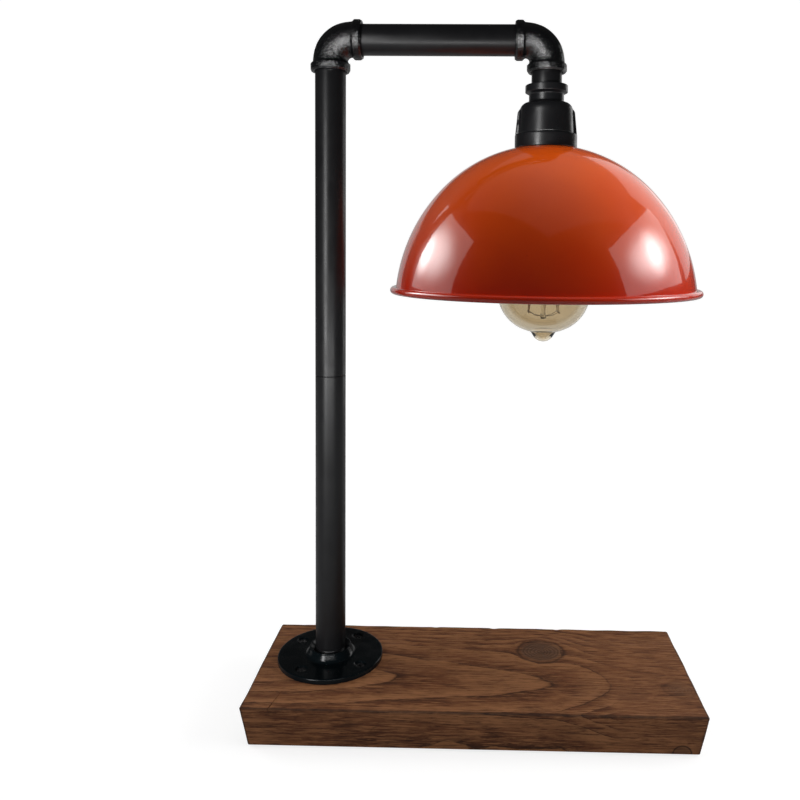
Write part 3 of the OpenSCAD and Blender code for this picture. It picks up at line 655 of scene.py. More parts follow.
class StainedWood(Finish):
    """Plain-sawn softwood under a walnut stain: ring cones round a tilted pith, bent by its knots."""

    def __init__(self, settings):
        super().__init__("stained_wood", tuple(settings.middle), Roughness=0.5)
        self.surface.inputs["Specular IOR Level"].default_value = 0.14
        self.lean = settings.lean
        self.late, self.mid = tuple(settings.late), tuple(settings.middle)
        self.early = tuple(settings.early)
        self.pale = tuple(c * 1.15 for c in self.early)
        self.where = self.place((1 / MM,) * 3, (POST.x, 0, BLOCK_HIGH.z))
        self.x, self.y, self.z = self.split(self.where)

    def stretched(self, sx, sy, sz, detail=3.0, roughness=0.55, distortion=0.0):
        """Noise whose grains are sx by sy by sz millimetres."""
        along = self.node("ShaderNodeVectorMath", operation="MULTIPLY")
        self.put(along.inputs[0], self.where)
        self.put(along.inputs[1], (1 / sx, 1 / sy, 1 / sz))
        return self.noise(along.outputs[0], 1.0, detail, roughness, distortion)

    def centred(self, value, amount):
        """A value from 0 to 1 as one to each side of 0."""
        return self.times(self.less(value, 0.5), amount)

    def distance(self, a, b):
        return self.sum("SQRT", self.plus(self.times(a, a), self.times(b, b)))

    def grain(self):
        """The grain's own Y, which flows round each knot as a stream round a pillar, and the distances
        from each knot with its radius, its strength and its two offsets."""
        grain_y = self.plus(self.y, self.centred(self.stretched(70, 30, 30, 2), 9))
        grain_y = self.plus(grain_y, self.centred(self.stretched(20, 8, 8, 3), 3.4))
        cores = []
        for kx, ky, radius, strength in KNOTS:
            dx = self.times(self.less(self.x, kx), 0.9)
            dy = self.less(self.y, ky)
            away = self.plus(self.distance(dx, dy), self.centred(self.stretched(9, 9, 30, 2), 4))
            square = radius * radius
            near = self.sum("DIVIDE", square, self.sum("MAXIMUM", self.times(away, away), square))
            grain_y = self.less(grain_y, self.times(self.less(grain_y, ky), near))
            cores.append((away, radius, strength, dx, dy))
        return grain_y, cores

    def ring_phase(self, grain_y):
        """Where a place lies in its growth ring, from 0 to 1, by its distance from the pith."""
        off = self.less(grain_y, PITH_Y)
        square = self.sum("MULTIPLY_ADD", self.less(self.x, DEPTH_FROM), DEPTH_SLOPE, DEPTH_SQUARE)
        steep = self.times(self.sum("MAXIMUM", self.less(self.x, STEEP_FROM), 0.0), STEEP_BY)
        depth = self.sum("SQRT", self.sum("MAXIMUM", self.plus(square, steep), 16.0))
        ring = self.distance(off, self.plus(depth, self.z))
        ring = self.plus(ring, self.centred(self.stretched(45, 14, 14, 3), 2.4))
        past = self.less(ring, WIDE_RINGS_END)
        outer = self.sum("DIVIDE", self.sum("MAXIMUM", past, 0.0), NARROW_RING)
        inner = self.sum("DIVIDE", self.sum("MINIMUM", past, 0.0), WIDE_RING)
        return self.sum("FRACT", self.plus(self.plus(outer, inner), 20.0))

    def stain(self, phase, fibres, threads, blots):
        """Rings under broad drifts of stain, dark fibres and pale threads along the grain."""
        dusk = tuple(a * 0.45 + b * 0.55 for a, b in zip(self.late, self.mid))
        even = tuple(a * 0.7 + b * 0.3 for a, b in zip(self.mid, self.early))
        bands = self.ramp(phase, [(0.0, self.late), (0.09, dusk), (0.34, self.mid), (0.78, self.early),
                                  (0.975, self.early), (1.0, self.late)])
        drift = self.spread(self.stretched(70, 26, 26, 3, 0.6), 0.3, 0.7)
        plain = self.spread(self.x, PLAIN_FROM, PLAIN_TO, 0.0, PLAIN_SHARE, True)
        shade = self.mix(self.plus(self.times(drift, 0.30), plain, clamp=True), bands, even)
        red = self.spread(self.stretched(60, 30, 30, 2), 0.5, 0.75)
        shade = self.mix(self.times(red, 0.30), shade, RED_STAIN)
        shade = self.mix(self.spread(fibres, 0.40, 0.50, 0.82, 0.0), shade, self.late)
        shade = self.mix(self.spread(threads, 0.50, 0.60, 0.0, 0.75), shade, self.pale)
        line = self.spread(self.absolute(self.less(phase, 0.985)), 0.0, 0.028, 0.85, 0.0)
        shade = self.mix(self.times(line, self.less(1.0, plain)), shade, RING_LINE)
        shade = self.mix(self.spread(blots, 0.42, 0.30, 0.0, 0.55), shade, self.late)
        return self.mix(self.spread(blots, 0.52, 0.68, 0.0, 0.55), shade, self.pale)

    def knots(self, shade, height, cores, blots):
        """Grey-brown knots with close rings and star cracks, and a dark rim."""
        star = self.stretched(2.6, 2.6, 60, 3, 0.7)
        for away, radius, strength, dx, dy in cores:
            body = self.spread(away, radius - 3.5, radius + 0.6, strength * 0.85, 0.0, True)
            close = self.sum("FRACT", self.sum("DIVIDE", self.plus(away, self.centred(star, 2.0)), 2.1))
            core = self.ramp(close, KNOT_RINGS)
            core = self.mix(self.spread(blots, 0.35, 0.65, 0.55, 0.0), core, KNOT_DARK)
            shade = self.mix(body, shade, core)
            rim = self.ridge(away, radius + 0.6, 2.0)
            shade = self.mix(self.times(rim, 0.75 * strength), shade, KNOT_RIM)
            turn = self.sum("ARCTAN2", dy, dx)
            spokes = self.sum("SINE", self.plus(self.times(turn, 2.5), self.centred(star, 2.2)))
            spokes = self.absolute(spokes)
            crack = self.times(self.spread(spokes, 0.0, 0.16, 1.0, 0.0),
                               self.spread(away, radius * 0.72, radius * 0.25, 0.0, 1.0))
            crack = self.times(crack, strength)
            shade = self.mix(self.times(crack, 0.8), shade, KNOT_CRACK)
            height = self.less(height, self.times(crack, 2.0))
            height = self.less(height, self.times(rim, 0.6 * strength))
        return shade, height

    def front_knot(self, shade):
        kx, kz, radius = FRONT_KNOT
        away = self.distance(self.less(self.x, kx), self.less(self.z, kz))
        front = self.spread(self.y, FRONT_FROM, FRONT_TO)
        core = self.times(self.spread(away, radius, radius - 1.5, 0.0, 0.6), front)
        shade = self.mix(core, shade, FRONT_KNOT_CORE)
        rim = self.times(self.times(self.ridge(away, radius, 0.9), front), 0.9)
        return self.mix(rim, shade, FRONT_KNOT_RIM)

    def edges(self, shade):
        """Stain that lies darker along the edges and on the sawn ends."""
        low, high = (BLOCK_LOW - POST) / MM, (BLOCK_HIGH - POST) / MM
        near_x = self.sum("MINIMUM", self.less(self.x, low.x), self.less(high.x, self.x))
        near_y = self.sum("MINIMUM", self.less(self.y, low.y), self.less(high.y, self.y))
        lean = self.times(self.z, self.lean / (BLOCK_HIGH.z - BLOCK_LOW.z))
        near_x = self.plus(near_x, lean)
        near_y = self.plus(near_y, lean)
        near_top = self.times(self.z, -1.0)
        least = self.sum("MINIMUM", near_x, near_y)
        most = self.sum("MAXIMUM", near_x, near_y)
        edge = self.sum("MAXIMUM", least, self.sum("MINIMUM", most, near_top))
        edge = self.plus(edge, self.centred(self.stretched(12, 12, 6, 3), 2.4))
        shade = self.mix(self.spread(edge, 0.2, 2.2, 0.75, 0.0, True), shade, EDGE_STAIN)
        return self.mix(self.spread(near_x, 0.6, 0.1, 0.0, 0.55), shade, self.late)

    def finished(self):
        """Wires it all and returns the material."""
        grain_y, cores = self.grain()
        phase = self.ring_phase(grain_y)
        fibres = self.stretched(15, 0.8, 0.8, 4, 0.72, 0.4)
        threads = self.stretched(22, 1.3, 1.3, 4, 0.72, 0.3)
        blots = self.stretched(26, 7, 7, 4, 0.65, 0.5)
        shade = self.stain(phase, fibres, threads, blots)
        shade, height = self.knots(shade, self.times(fibres, 0.5), cores, blots)
        shade = self.edges(self.front_knot(shade))
        height = self.plus(height, self.times(self.spread(phase, 0.75, 0.98), 0.45))
        height = self.plus(height, self.times(threads, 0.5))
        return self.set(Base_Color=shade, Roughness=self.spread(fibres, 0.3, 0.7, 0.60, 0.44),
                        Normal=self.bump(height, 0.22 * MM, 0.75))


def face_lines(low, high, step, r):
    """Grid lines across a face, with four close ones inside each rounded edge."""
    edge = [r * (1 - math.tan(math.radians(a))) for a in (45, 32, 16)]
    inner = list(np.linspace(low + r, high - r, max(2, round((high - low - 2 * r) / step) + 1)))
    return [low + e for e in edge] + inner + [high - e for e in reversed(edge)]


def block_shell(settings):
    """The block's outside as a fine grid with worn edges and gently uneven faces."""
    low, high = BLOCK_LOW, BLOCK_HIGH
    r = settings.edge_round
    xs = face_lines(low.x, high.x, settings.grid, r)
    ys = face_lines(low.y, high.y, settings.grid, r)
    zs = [low.z] + [z for z in face_lines(low.z - r, high.z, settings.grid, r) if z > low.z + 1e-5]
    points, faces = [], []

    def sheet(us, vs, at):
        start = len(points)
        points.extend(at(u, v) for u in us for v in vs)
        for i in range(len(us) - 1):
            for j in range(len(vs) - 1):
                a = start + i * len(vs) + j
                faces.append((a, a + 1, a + 1 + len(vs), a + len(vs)))

    sheet(xs, ys, lambda u, v: (u, v, high.z))
    for x in (low.x, high.x):
        sheet(ys, zs, lambda u, v: (x, u, v))
    for y in (low.y, high.y):
        sheet(xs, zs, lambda u, v: (u, y, v))
    chips = np.random.RandomState(11)
    dents = [(Vector((chips.uniform(low.x, high.x), y, high.z)), chips.uniform(1.5, 4.5) * MM)
             for y in (low.y, low.y, high.y) for _ in range(6)]
    centre = (low + high) / 2
    shaped = []
    for p in points:
        p = Vector(p)
        wear = r * (0.75 + 0.5 * noise.noise(p / (16 * MM)))
        q = Vector((min(max(p.x, low.x + wear), high.x - wear), min(max(p.y, low.y + wear), high.y - wear),
                    min(p.z, high.z - wear)))
        out = p - q
        if out.length > wear:
            p = q + out.normalized() * wear
        inwards = 0.0
        for place, size in dents:
            gap = (p - place).length / size
            if gap < 1:
                inwards += 0.14 * size * (1 - gap * gap) ** 2
        p += (centre - p).normalized() * inwards
        rise = (p.z - low.z) / (high.z - low.z)
        for axis in (0, 1):
            half = (high[axis] - low[axis]) / 2
            p[axis] = centre[axis] + (p[axis] - centre[axis]) * (1 - settings.lean * (1 - rise) / half)
        slow = 0.5 + 0.5 * noise.noise(Vector((p.x * 0.25, p.y, p.z)) / (24 * MM))
        if p.z > high.z - r:
            p.z -= 0.25 * MM * slow
        shaped.append(p)
    shell = solid("wood_block", shaped, faces)
    shape = bmesh.new()
    shape.from_mesh(shell.data)
    rim = [e for e in shape.edges if e.is_boundary]
    for v in {v for e in rim for v in e.verts}:
        v.co.z = low.z
    bmesh.ops.holes_fill(shape, edges=rim, sides=0)
    bmesh.ops.recalc_face_normals(shape, faces=shape.faces)
    shape.to_mesh(shell.data)
    shape.free()
    return shell


def flange_screw_places(settings):
    """Axes of the flange screws, on the block's top."""
    for i in range(settings.screws):
        a = settings.screw_angle + i * TAU / settings.screws
        out = Vector((math.cos(a), math.sin(a), 0)) * settings.screw_circle
        yield POST + out + Vector((0, 0, BLOCK_HIGH.z)), a


def cover_screw_places():
    """Axes of the cover's screws, on the block's underside."""
    low, high = box("cover_screws")
    head = 3 * MM
    for x in (low.x + head, high.x - head):
        for y in (low.y + head, high.y - head):
            yield Vector((x, y, BLOCK_LOW.z))


# The end crack's two parts: two ends on the top, in mm from the post's axis, and half the first end's width
CRACKS = (((-28.4, -65.5), (-24.8, -48.0), 0.5), ((-24.8, -48.0), (-23.6, -44.5), 0.3))


class LAMP_OT_wood_block(bpy.types.Operator):
    """Builds the stained block with its cable hole, chamber, screw holes and end crack"""
    bl_idname = "pipe_lamp.wood_block"
    bl_label = "Wood Block"

    def execute(self, context):
        settings = context.scene.lamp_block
        fittings = context.scene.lamp_fittings
        block = block_shell(settings)
        low = BLOCK_LOW.z
        play = 0.3 * MM
        plate_low, plate_high = box("cover_plate")
        cutters = [brick((plate_low.x - play, plate_low.y - play, low - MM),
                         (plate_high.x + play, plate_high.y + play, plate_high.z))]
        start = POST.x + settings.chamber_from_post
        half = settings.chamber_width / 2
        cutters.append(brick((start, -half, low - MM),
                             (start + settings.chamber_length, half, low + settings.chamber_height)))
        half = settings.channel_width / 2
        cutters.append(brick((POST.x, -half, low - MM),
                             (start + MM, half, low + settings.chamber_height - MM)))
        cutters.append(rod(settings.cable_hole, low - MM, BLOCK_HIGH.z + MM, POST))
        bush_low, bush_high = box("cord_bush")
        bush = middle("cord_bush")
        bush_r = bush_high.x - bush.x
        cutters.append(rod(bush_r - 2.3 * MM, -10 * MM, BLOCK_HIGH.y - bush_low.y + MM,
                           Vector((bush.x, bush_low.y, bush.z)), direction="Y"))
        cutters.append(rod(bush_r + play, 0, 6 * MM, Vector((bush.x, bush_high.y - 2 * MM, bush.z)),
                           direction="Y"))
        for place, _ in flange_screw_places(fittings):
            cutters.append(rod(fittings.screw_shank, -16.5 * MM, MM, place, 24))
        for place in cover_screw_places():
            cutters.append(rod(1.5 * MM, -MM, 12.5 * MM, place, 24))
        cutters += [crack(*part) for part in CRACKS]
        combine(block, cutters)
        soften(block.data, 40)
        block.data.name = block.name = "wood_block"
        fit(block, "stand", "stained_wood", StainedWood(settings).finished(), "wood_base")
        return {"FINISHED"}


def crack(a, b, half_width):
    """A thin wedge to cut a drying crack with, between two places on the top."""
    a, b = (Vector((POST.x + p[0] * MM, p[1] * MM, BLOCK_HIGH.z)) for p in (a, b))
    across = (b - a).normalized().cross(Vector((0, 0, 1))) * half_width * MM
    deep = Vector((0, 0, -3 * MM))
    up = Vector((0, 0, MM))
    points = [a - across + up, a + across + up, b + across * 0.3 + up, b - across * 0.3 + up,
              a - across * 0.2 + deep, a + across * 0.2 + deep, b + across * 0.1 + deep * 0.4,
              b - across * 0.1 + deep * 0.4]
    faces = [(0, 1, 2, 3), (4, 7, 6, 5), (0, 4, 5, 1), (1, 5, 6, 2), (2, 6, 7, 3), (3, 7, 4, 0)]
    return solid("cutter", points, faces)


# Under the block

class LAMP_OT_block_fittings(bpy.types.Operator):
    """Builds the rubber pads and the cord bush, and finishes the cover and the wiring behind it"""
    bl_idname = "pipe_lamp.block_fittings"
    bl_label = "Block Fittings"

    def execute(self, context):
        rubber = moulded("pad_rubber", (0.020, 0.020, 0.021), 0.75, 0.06 * MM)
        low, high = box("base_pads")
        r, h = 7 * MM, high.z - low.z
        profile = rounded([(0, 0, 0), (r - 1.2 * MM, 0, 0.3 * MM), (r, 0.5 * MM, 0.4 * MM),
                           (r - 0.1 * MM, h, 0), (0, h, 0)])
        pad_points, pad_faces = turned(profile, 48, closed=False)
        pads = [pad_points + np.array((x, y, low.z))
                for x in (low.x + r, high.x - r) for y in (low.y + r, high.y - r)]
        fit(copies("rubber_pads", pads, pad_faces), "stand", "pad_rubber", rubber, "base_pads")

        bush_low, bush_high = box("cord_bush")
        centre = middle("cord_bush")
        outer = bush_high.x - centre.x
        wall, flange, bore = outer - 2.4 * MM, 2 * MM, 3.6 * MM
        deep = bush_high.y - bush_low.y
        profile = rounded([(bore, 0, 0), (wall, 0, 0.2 * MM), (wall, deep - flange, 0.1 * MM),
                           (outer, deep - flange, 0.2 * MM), (outer, deep, 0.9 * MM),
                           (bore, deep, 0.8 * MM), (bore, 0, 0)])[:-1]
        points, faces = turned(profile, 64)
        turn = np.array(Matrix.Rotation(-math.pi / 2, 3, "X"))
        bush = solid("cord_bush_rubber", points @ turn.T, faces, Vector((centre.x, bush_low.y, centre.z)))
        fit(bush, "stand", "bush_rubber", moulded("bush_rubber", (0.014, 0.014, 0.014), 0.6), "cord_bush")

        paint = coated("plate_paint", (0.030, 0.030, 0.032), 0.45, 0.02 * MM, 0.8 * MM)
        dress("cover_plate", paint, 0.25 * MM)
        steel = plain_metal("zinc_steel", (0.58, 0.58, 0.60), 0.34, (0.40, 0.38, 0.34))
        dress("cover_screws", steel)
        dress("post_sleeve", steel)
        brass = plain_metal("brass", (0.72, 0.52, 0.22), 0.30, (0.42, 0.28, 0.12))
        dress("terminal_tubes", brass)
        dress("terminal_screws", brass)
        dress("holder_screws", brass)
        dress("terminal_block", moulded("nylon", (0.80, 0.78, 0.70), 0.45), 0.4 * MM)
        sheath = moulded("flex_sheath", (0.022, 0.022, 0.023), 0.55)
        for node in ("flex_stand", "flex_arm", "flex_head"):
            dress(node, sheath)
        dress("base_cores", core_sleeves("base_core_sleeves", 3 * MM))
        dress("flex_cores", core_sleeves("holder_core_sleeves", 4 * MM))
        return {"FINISHED"}


def core_sleeves(name, half):
    """Brown, green and blue sleeves of three cores, side by side along Y within half of the middle."""
    f = Finish(name, (0.12, 0.05, 0.02), Roughness=0.42)
    side = f.spread(f.split(f.place())[1], -half, half)
    shade = f.ramp(side, [(0.0, (0.13, 0.05, 0.02)), (0.33, (0.14, 0.05, 0.02)), (0.36, (0.10, 0.32, 0.03)),
                          (0.64, (0.12, 0.34, 0.03)), (0.67, (0.02, 0.08, 0.42)), (1.0, (0.02, 0.08, 0.40))])
    fine = f.noise(f.place(), 1 / (0.6 * MM), 3)
    return f.set(Base_Color=shade, Normal=f.bump(fine, 0.02 * MM))


# Pipes

def pipe_profile(r, bore, long, threaded_low, threaded_high, settings):
    """Outline of a pipe from its low end, with close rows where it is threaded."""
    edge = 0.3 * MM
    rows = [0.0]
    step = settings.thread_pitch / 7
    if threaded_low:
        rows += list(np.arange(edge, settings.thread_length, step))
    else:
        rows += [edge]
    if threaded_high:
        rows += list(np.arange(long - settings.thread_length, long - edge, step))
    else:
        rows += [long - edge]
    rows += [long]
    outside = [(r - edge if z in (0.0, long) else r, z) for z in rows]
    inside = [(bore + edge, long), (bore, long - edge), (bore, edge), (bore + edge, 0)]
    return outside + inside


def pipe_solid(r, bore, long, threads, settings):
    """A pipe along Z from 0, threaded at the ends that threads names."""
    pitch, depth = settings.thread_pitch, settings.thread_depth

    def cut(radius, z, turn):
        wave = np.abs((z / pitch - turn / TAU) % 1 - 0.5) * 2
        zone = np.zeros_like(z)
        if threads[0]:
            zone = np.maximum(zone, np.clip((settings.thread_length - z) / (1.5 * pitch), 0, 1))
        if threads[1]:
            zone = np.maximum(zone, np.clip((z - long + settings.thread_length) / (1.5 * pitch), 0, 1))
        outer = radius > bore + 1.2 * MM
        return np.where(outer, radius - depth * zone * wave, radius)

    profile = pipe_profile(r, bore, long, *threads, settings)
    return turned(profile, 128, radius=cut)


class LAMP_OT_pipes(bpy.types.Operator):
    """Builds the two lengths of the post, the arm and the nipple"""
    bl_idname = "pipe_lamp.pipes"
    bl_label = "Pipes"

    def execute(self, context):
        settings = context.scene.lamp_pipes
        coat = coated("pipe_black", tuple(settings.coat), 0.36, 0.006 * MM, 0.9 * MM, 0.3, 0.12)
        across = np.array(Matrix.Rotation(math.pi / 2, 3, "Y"))
        for node, body, threads in (("post_lower_pipe", "stand", (True, False)),
                                    ("post_upper_pipe", "stand", (False, True)),
                                    ("arm_pipe", "arm", (True, True)),
                                    ("head_nipple", "head", (True, True))):
            low, high = box(node)
            centre = (low + high) / 2
            along = node == "arm_pipe"
            r = (high.y - low.y) / 2
            long = high.x - low.x if along else high.z - low.z
            bore = settings.nipple_bore if node == "head_nipple" else settings.bore
            points, faces = pipe_solid(r, bore, long, threads, settings)
            place = Vector((low.x, 0, centre.z)) if along else Vector((centre.x, 0, low.z))
            if along:
                points = points @ across.T
            piece = solid(node + "_coated", points, faces, place, 40)
            fit(piece, body, "pipe_black", coat, node)
        return {"FINISHED"}


# Castings

def along_bend(s, reach, bend):
    """X, Z and the angle turned through, s along an elbow's line from its low end. The line's legs run
    down -Z and out along +X."""
    straight = reach - bend
    quarter = bend * math.pi / 2
    a = np.clip((s - straight) / bend, 0, math.pi / 2)
    first = np.minimum(s, straight)
    last = np.maximum(s - straight - quarter, 0)
    x = bend - bend * np.cos(a) + last
    z = -reach + first + bend * np.sin(a)
    return x, z, a


def elbow_solid(low_r, side_r, settings):
    """A cast elbow with a bead at each end; its sockets have these radii."""
    reach, bend, body = settings.elbow_reach, settings.elbow_bend, settings.elbow_body
    total = 2 * (reach - bend) + bend * math.pi / 2
    bead = 14 * MM - settings.parting
    end = [(bead - 0.9 * MM, 0, 0), (bead, 1.5 * MM, 0.9 * MM), (bead, 5.3 * MM, 0.7 * MM),
           (body + 0.2 * MM, 6.7 * MM, 0.8 * MM), (body, 9.0 * MM, 0)]
    near = rounded(end, 4)
    outer = near + [(body, s) for s in np.linspace(9 * MM, total - 9 * MM, 34)[1:-1]]
    outer += [(r, total - s) for r, s in reversed(near)]
    deep = settings.socket_depth
    inner = [(side_r + 0.7 * MM, total), (side_r, total - 0.7 * MM), (side_r, total - deep),
             (settings.passage, total - deep - 0.4 * MM)]
    inner += [(settings.passage, s) for s in np.linspace(total - deep - MM, deep + MM, 22)]
    inner += [(settings.passage, deep + 0.4 * MM), (low_r, deep), (low_r, 0.7 * MM), (low_r + 0.7 * MM, 0)]
    rows = np.array(outer + inner)
    turns = 128
    angles = np.arange(turns) * TAU / turns
    x, z, a = along_bend(rows[:, 1], reach, bend)
    r = np.repeat(rows[:, :1], turns, axis=1)
    # A fine ridge where the mould's halves met, in the plane of the bend
    ridge = np.exp(-(np.sin(angles) * r / (0.55 * MM)) ** 2) * settings.parting
    shell = np.zeros((len(rows), 1))
    shell[:len(outer)] = 1.0
    r = r + ridge * shell
    out = r * np.cos(angles)
    points = np.stack([x[:, None] - out * np.cos(a)[:, None], r * np.sin(angles),
                       z[:, None] + out * np.sin(a)[:, None]], axis=2).reshape(-1, 3)
    return points, rings(len(rows), turns, True)


class LAMP_OT_elbows(bpy.types.Operator):
    """Builds the two cast elbows"""
    bl_idname = "pipe_lamp.elbows"
    bl_label = "Elbows"

    def execute(self, context):
        settings = context.scene.lamp_fittings
        dark = tuple(c * 0.5 for c in settings.casting)
        cast = coated("elbow_casting", dark, 0.15, 0.60 * MM, 1.7 * MM, 0.4, 0.3)
        pipe_r = wide("post_upper_pipe") / 2 + PLAY
        nipple_r = wide("head_nipple") / 2 + PLAY
        for node, body, low_r, place, side in (("post_elbow", "arm", pipe_r, POST, 1),
                                               ("head_elbow", "head", nipple_r, HEAD, -1)):
            points, faces = elbow_solid(low_r, pipe_r, settings)
            points = points * np.array((side, 1, 1))
            piece = solid(node + "_casting", points, faces, place + Vector((0, 0, ARM_Z)), 40)

            def skin(p, at=place):
                """Whether a point lies farther than this from the elbow's centre."""
                return Vector((p.x - at.x, p.y, p.z - ARM_Z)).length > 11.5 * MM

            uneven(piece, 0.14 * MM, 2.6 * MM, skin)
            uneven(piece, 0.10 * MM, 7.0 * MM, skin)
            soften(piece.data, 40)
            fit(piece, body, "cast_black", cast, node)
        return {"FINISHED"}


class LAMP_OT_reducer(bpy.types.Operator):
    """Builds the bell reducer with its two ribs"""
    bl_idname = "pipe_lamp.reducer"
    bl_label = "Reducer"

    def execute(self, context):
        settings = context.scene.lamp_fittings
        low, high = box("reducer")
        collar = (high.y - low.y) / 2
        tall = high.z - low.z
        collar_h, bell_h = 9.6 * MM, 25.9 * MM
        bell_low, bell_top, shoulder = 19.3 * MM, 18.0 * MM, 5.6 * MM
        neck, band, band_z = 12.1 * MM, 14.7 * MM, tall - 4.9 * MM
        socket_r, socket_deep, passage = wide("head_nipple") / 2 + PLAY, 9.5 * MM, 8 * MM
        mouth_r, mouth_h = 16.55 * MM, 22 * MM
        outside = rounded([
            (mouth_r, 0, 0), (collar, 0, 0.7 * MM), (collar, collar_h, 0.9 * MM),
            (bell_low - 0.5 * MM, collar_h, 0.35 * MM), (bell_low - 0.1 * MM, collar_h + 1.2 * MM, 0.4 * MM),
            (bell_top, bell_h + shoulder, shoulder), (neck, bell_h + shoulder, 1.0 * MM),
            (neck, band_z - 1.4 * MM, 1.0 * MM), (band, band_z, 0.5 * MM), (band, tall, 0.6 * MM),
            (socket_r, tall, 0)], 6)
        inside = [(socket_r, tall - socket_deep), (passage, tall - socket_deep), (passage, mouth_h),
                  (mouth_r, mouth_h)]
        rib_foot, rib_top = collar - 0.25 * MM, bell_top + 1.75 * MM

        def ribs(r, z, turn):
            """Raises the two ribs out of the bell, with cast flanks."""
            up = np.clip((z - collar_h) / (bell_h - collar_h), 0, 1)
            crest = rib_foot + (rib_top - rib_foot) * up
            fade = np.clip((bell_h + 1.2 * MM - z) / (2.2 * MM), 0, 1) ** 0.7
            aside = np.abs(np.sin(turn)) * crest
            flank = np.clip((2.9 * MM - aside) / (0.9 * MM), 0, 1)
            flank = flank * flank * (3 - 2 * flank)
            on = (z > collar_h - 0.3 * MM) & (z < bell_h + 1.2 * MM) & (r > 12.5 * MM)
            raised = r + np.maximum(crest - r, 0) * flank * fade
            return np.where(on, raised, r)

        profile = dense(outside, 0.8 * MM) + inside
        piece = turned_piece("reducer_casting", "reducer", HEAD, profile, 288, 40, radius=ribs)
        uneven(piece, 0.10 * MM, 5 * MM, lambda p: (p - HEAD).xy.length > 11.5 * MM)
        soften(piece.data, 40)
        cast = coated("reducer_casting", tuple(settings.casting), 0.33, 0.035 * MM, 0.8 * MM, 0.5, 0.2)
        fit(piece, "head", "cast_black", cast, "reducer")
        return {"FINISHED"}


class LAMP_OT_floor_flange(bpy.types.Operator):
    """Builds the cast floor flange with its countersunk holes"""
    bl_idname = "pipe_lamp.floor_flange"
    bl_label = "Floor Flange"

    def execute(self, context):
        settings = context.scene.lamp_fittings
        low, high = box("floor_flange")
        r = (high.x - low.x) / 2
        plate = 3.5 * MM
        bore = wide("post_lower_pipe") / 2 + PLAY
        hub = settings.hub_height
        profile = rounded([
            (bore, 0, 0), (r, 0, 0.4 * MM), (r, plate, 0.9 * MM),
            (settings.hub_foot + 0.6 * MM, plate, 2.6 * MM),
            (settings.hub_radius + 0.1 * MM, hub - 1.2 * MM, 0.4 * MM),
            (settings.hub_radius, hub, 0.5 * MM), (settings.hub_radius - 0.9 * MM, hub, 0.3 * MM),
            (bore, hub - 2.8 * MM, 0)], 6)
        piece = turned_piece("floor_flange_casting", "floor_flange", POST, dense(profile, 1.1 * MM), 192, 40)
        uneven(piece, 0.16 * MM, 9 * MM, lambda p: p.z > low.z + MM and (p - POST).xy.length > 12 * MM)
        cutters = []
        top = Vector((0, 0, plate))
        head = settings.screw_head + 0.35 * MM
        hole = settings.screw_shank + 0.1 * MM
        sink, cone = 1.1 * MM, 1.7 * MM
        for place, _ in flange_screw_places(settings):
            at = place + top
            cutters.append(rod(hole, -5 * MM, MM, at, 32))
            cutters.append(rod(hole, -sink - cone, -sink, at, 48, top=head))
            cutters.append(rod(head, -sink, MM, at, 48))
            cutters.append(rod(head, -0.5 * MM, 0.1 * MM, at, 48, top=head + 0.6 * MM))
        combine(piece, cutters)
        soften(piece.data, 35)
        cast = coated("flange_casting", tuple(settings.flange), 0.16, 0.030 * MM, 1.1 * MM, 0.2, 0.2)
        fit(piece, "stand", "cast_black", cast, "floor_flange")

        points, faces = wood_screw(settings, 18.4 * MM)
        screws = []
        for place, a in flange_screw_places(settings):
            turn = np.array(Matrix.Rotation(a * 3.1, 3, "Z"))
            screws.append(points @ turn.T + np.array(place) + np.array((0, 0, plate - sink)))
        black = coated("screw_black", (0.010, 0.010, 0.011), 0.26, 0.01 * MM, 0.6 * MM, 0.5, 0.2)
        fit(copies("flange_wood_screws", screws, faces), "stand", "screw_black", black, "flange_screws")
        return {"FINISHED"}


def wood_screw(settings, long):
    """A countersunk wood screw with a cross recess and a coarse thread, its head's top at 0."""
    head, shank = settings.screw_head, settings.screw_shank
    cone = head - shank
    rows = [(head - 0.35 * MM, -0.02 * MM), (head, -0.3 * MM), (shank, -cone - 0.3 * MM), (shank, -5 * MM)]
    pitch = 1.6 * MM
    rows += [(shank, z) for z in np.arange(-5 * MM, -long + 3.4 * MM, -pitch / 6)]
    rows += [(shank * 0.55, -long + 1.4 * MM), (0.05 * MM, -long)]

    def thread(r, z, turn):
        wave = np.abs((z / pitch + turn / TAU) % 1 - 0.5) * 2
        zone = np.clip((-5 * MM - z) / (2 * pitch), 0, 1)
        return r - 0.55 * MM * zone * wave * (r > MM)

    # The recess: four tapering arms that sink into the head's flat top
    grid = np.linspace(0, head - 0.35 * MM, 12)
    top = [(g, -0.02 * MM) for g in grid[:-1]]
    turns = 64
    points, faces = turned(top + rows, turns, closed=False, radius=thread)
    arm = 0.55 * MM
    for p in points[:len(top) * turns]:
        near = min(abs(p[0]), abs(p[1]))
        far = max(abs(p[0]), abs(p[1]))
        inside = min(max((arm - near) / (0.3 * MM), 0), 1) * min(max((2.3 * MM - far) / (0.7 * MM), 0), 1)
        p[2] -= 1.3 * MM * inside * (1 - 0.35 * far / (2.3 * MM))
    return points, faces


# Shade

def dome(settings, inwards):
    """Outline of the dome from its seat to its rim, moved inwards."""
    collar = wide("reducer", 1) / 2
    crown_z = SEAT_Z - math.sqrt(settings.crown ** 2 - collar ** 2)
    side_r = settings.crown + settings.side_shift * math.sqrt(2)
    side_z = crown_z - settings.side_shift
    rim_z = box("shade")[0].z + settings.roll
    seat_a = math.degrees(math.acos(collar / settings.crown))
    rim_a = math.degrees(math.asin((rim_z - side_z) / side_r))
    crown = arc(0, crown_z, settings.crown - inwards, seat_a, 45, 22)
    side = arc(-settings.side_shift, side_z, side_r - inwards, 45, rim_a, 44)
    return crown + side[1:], rim_z


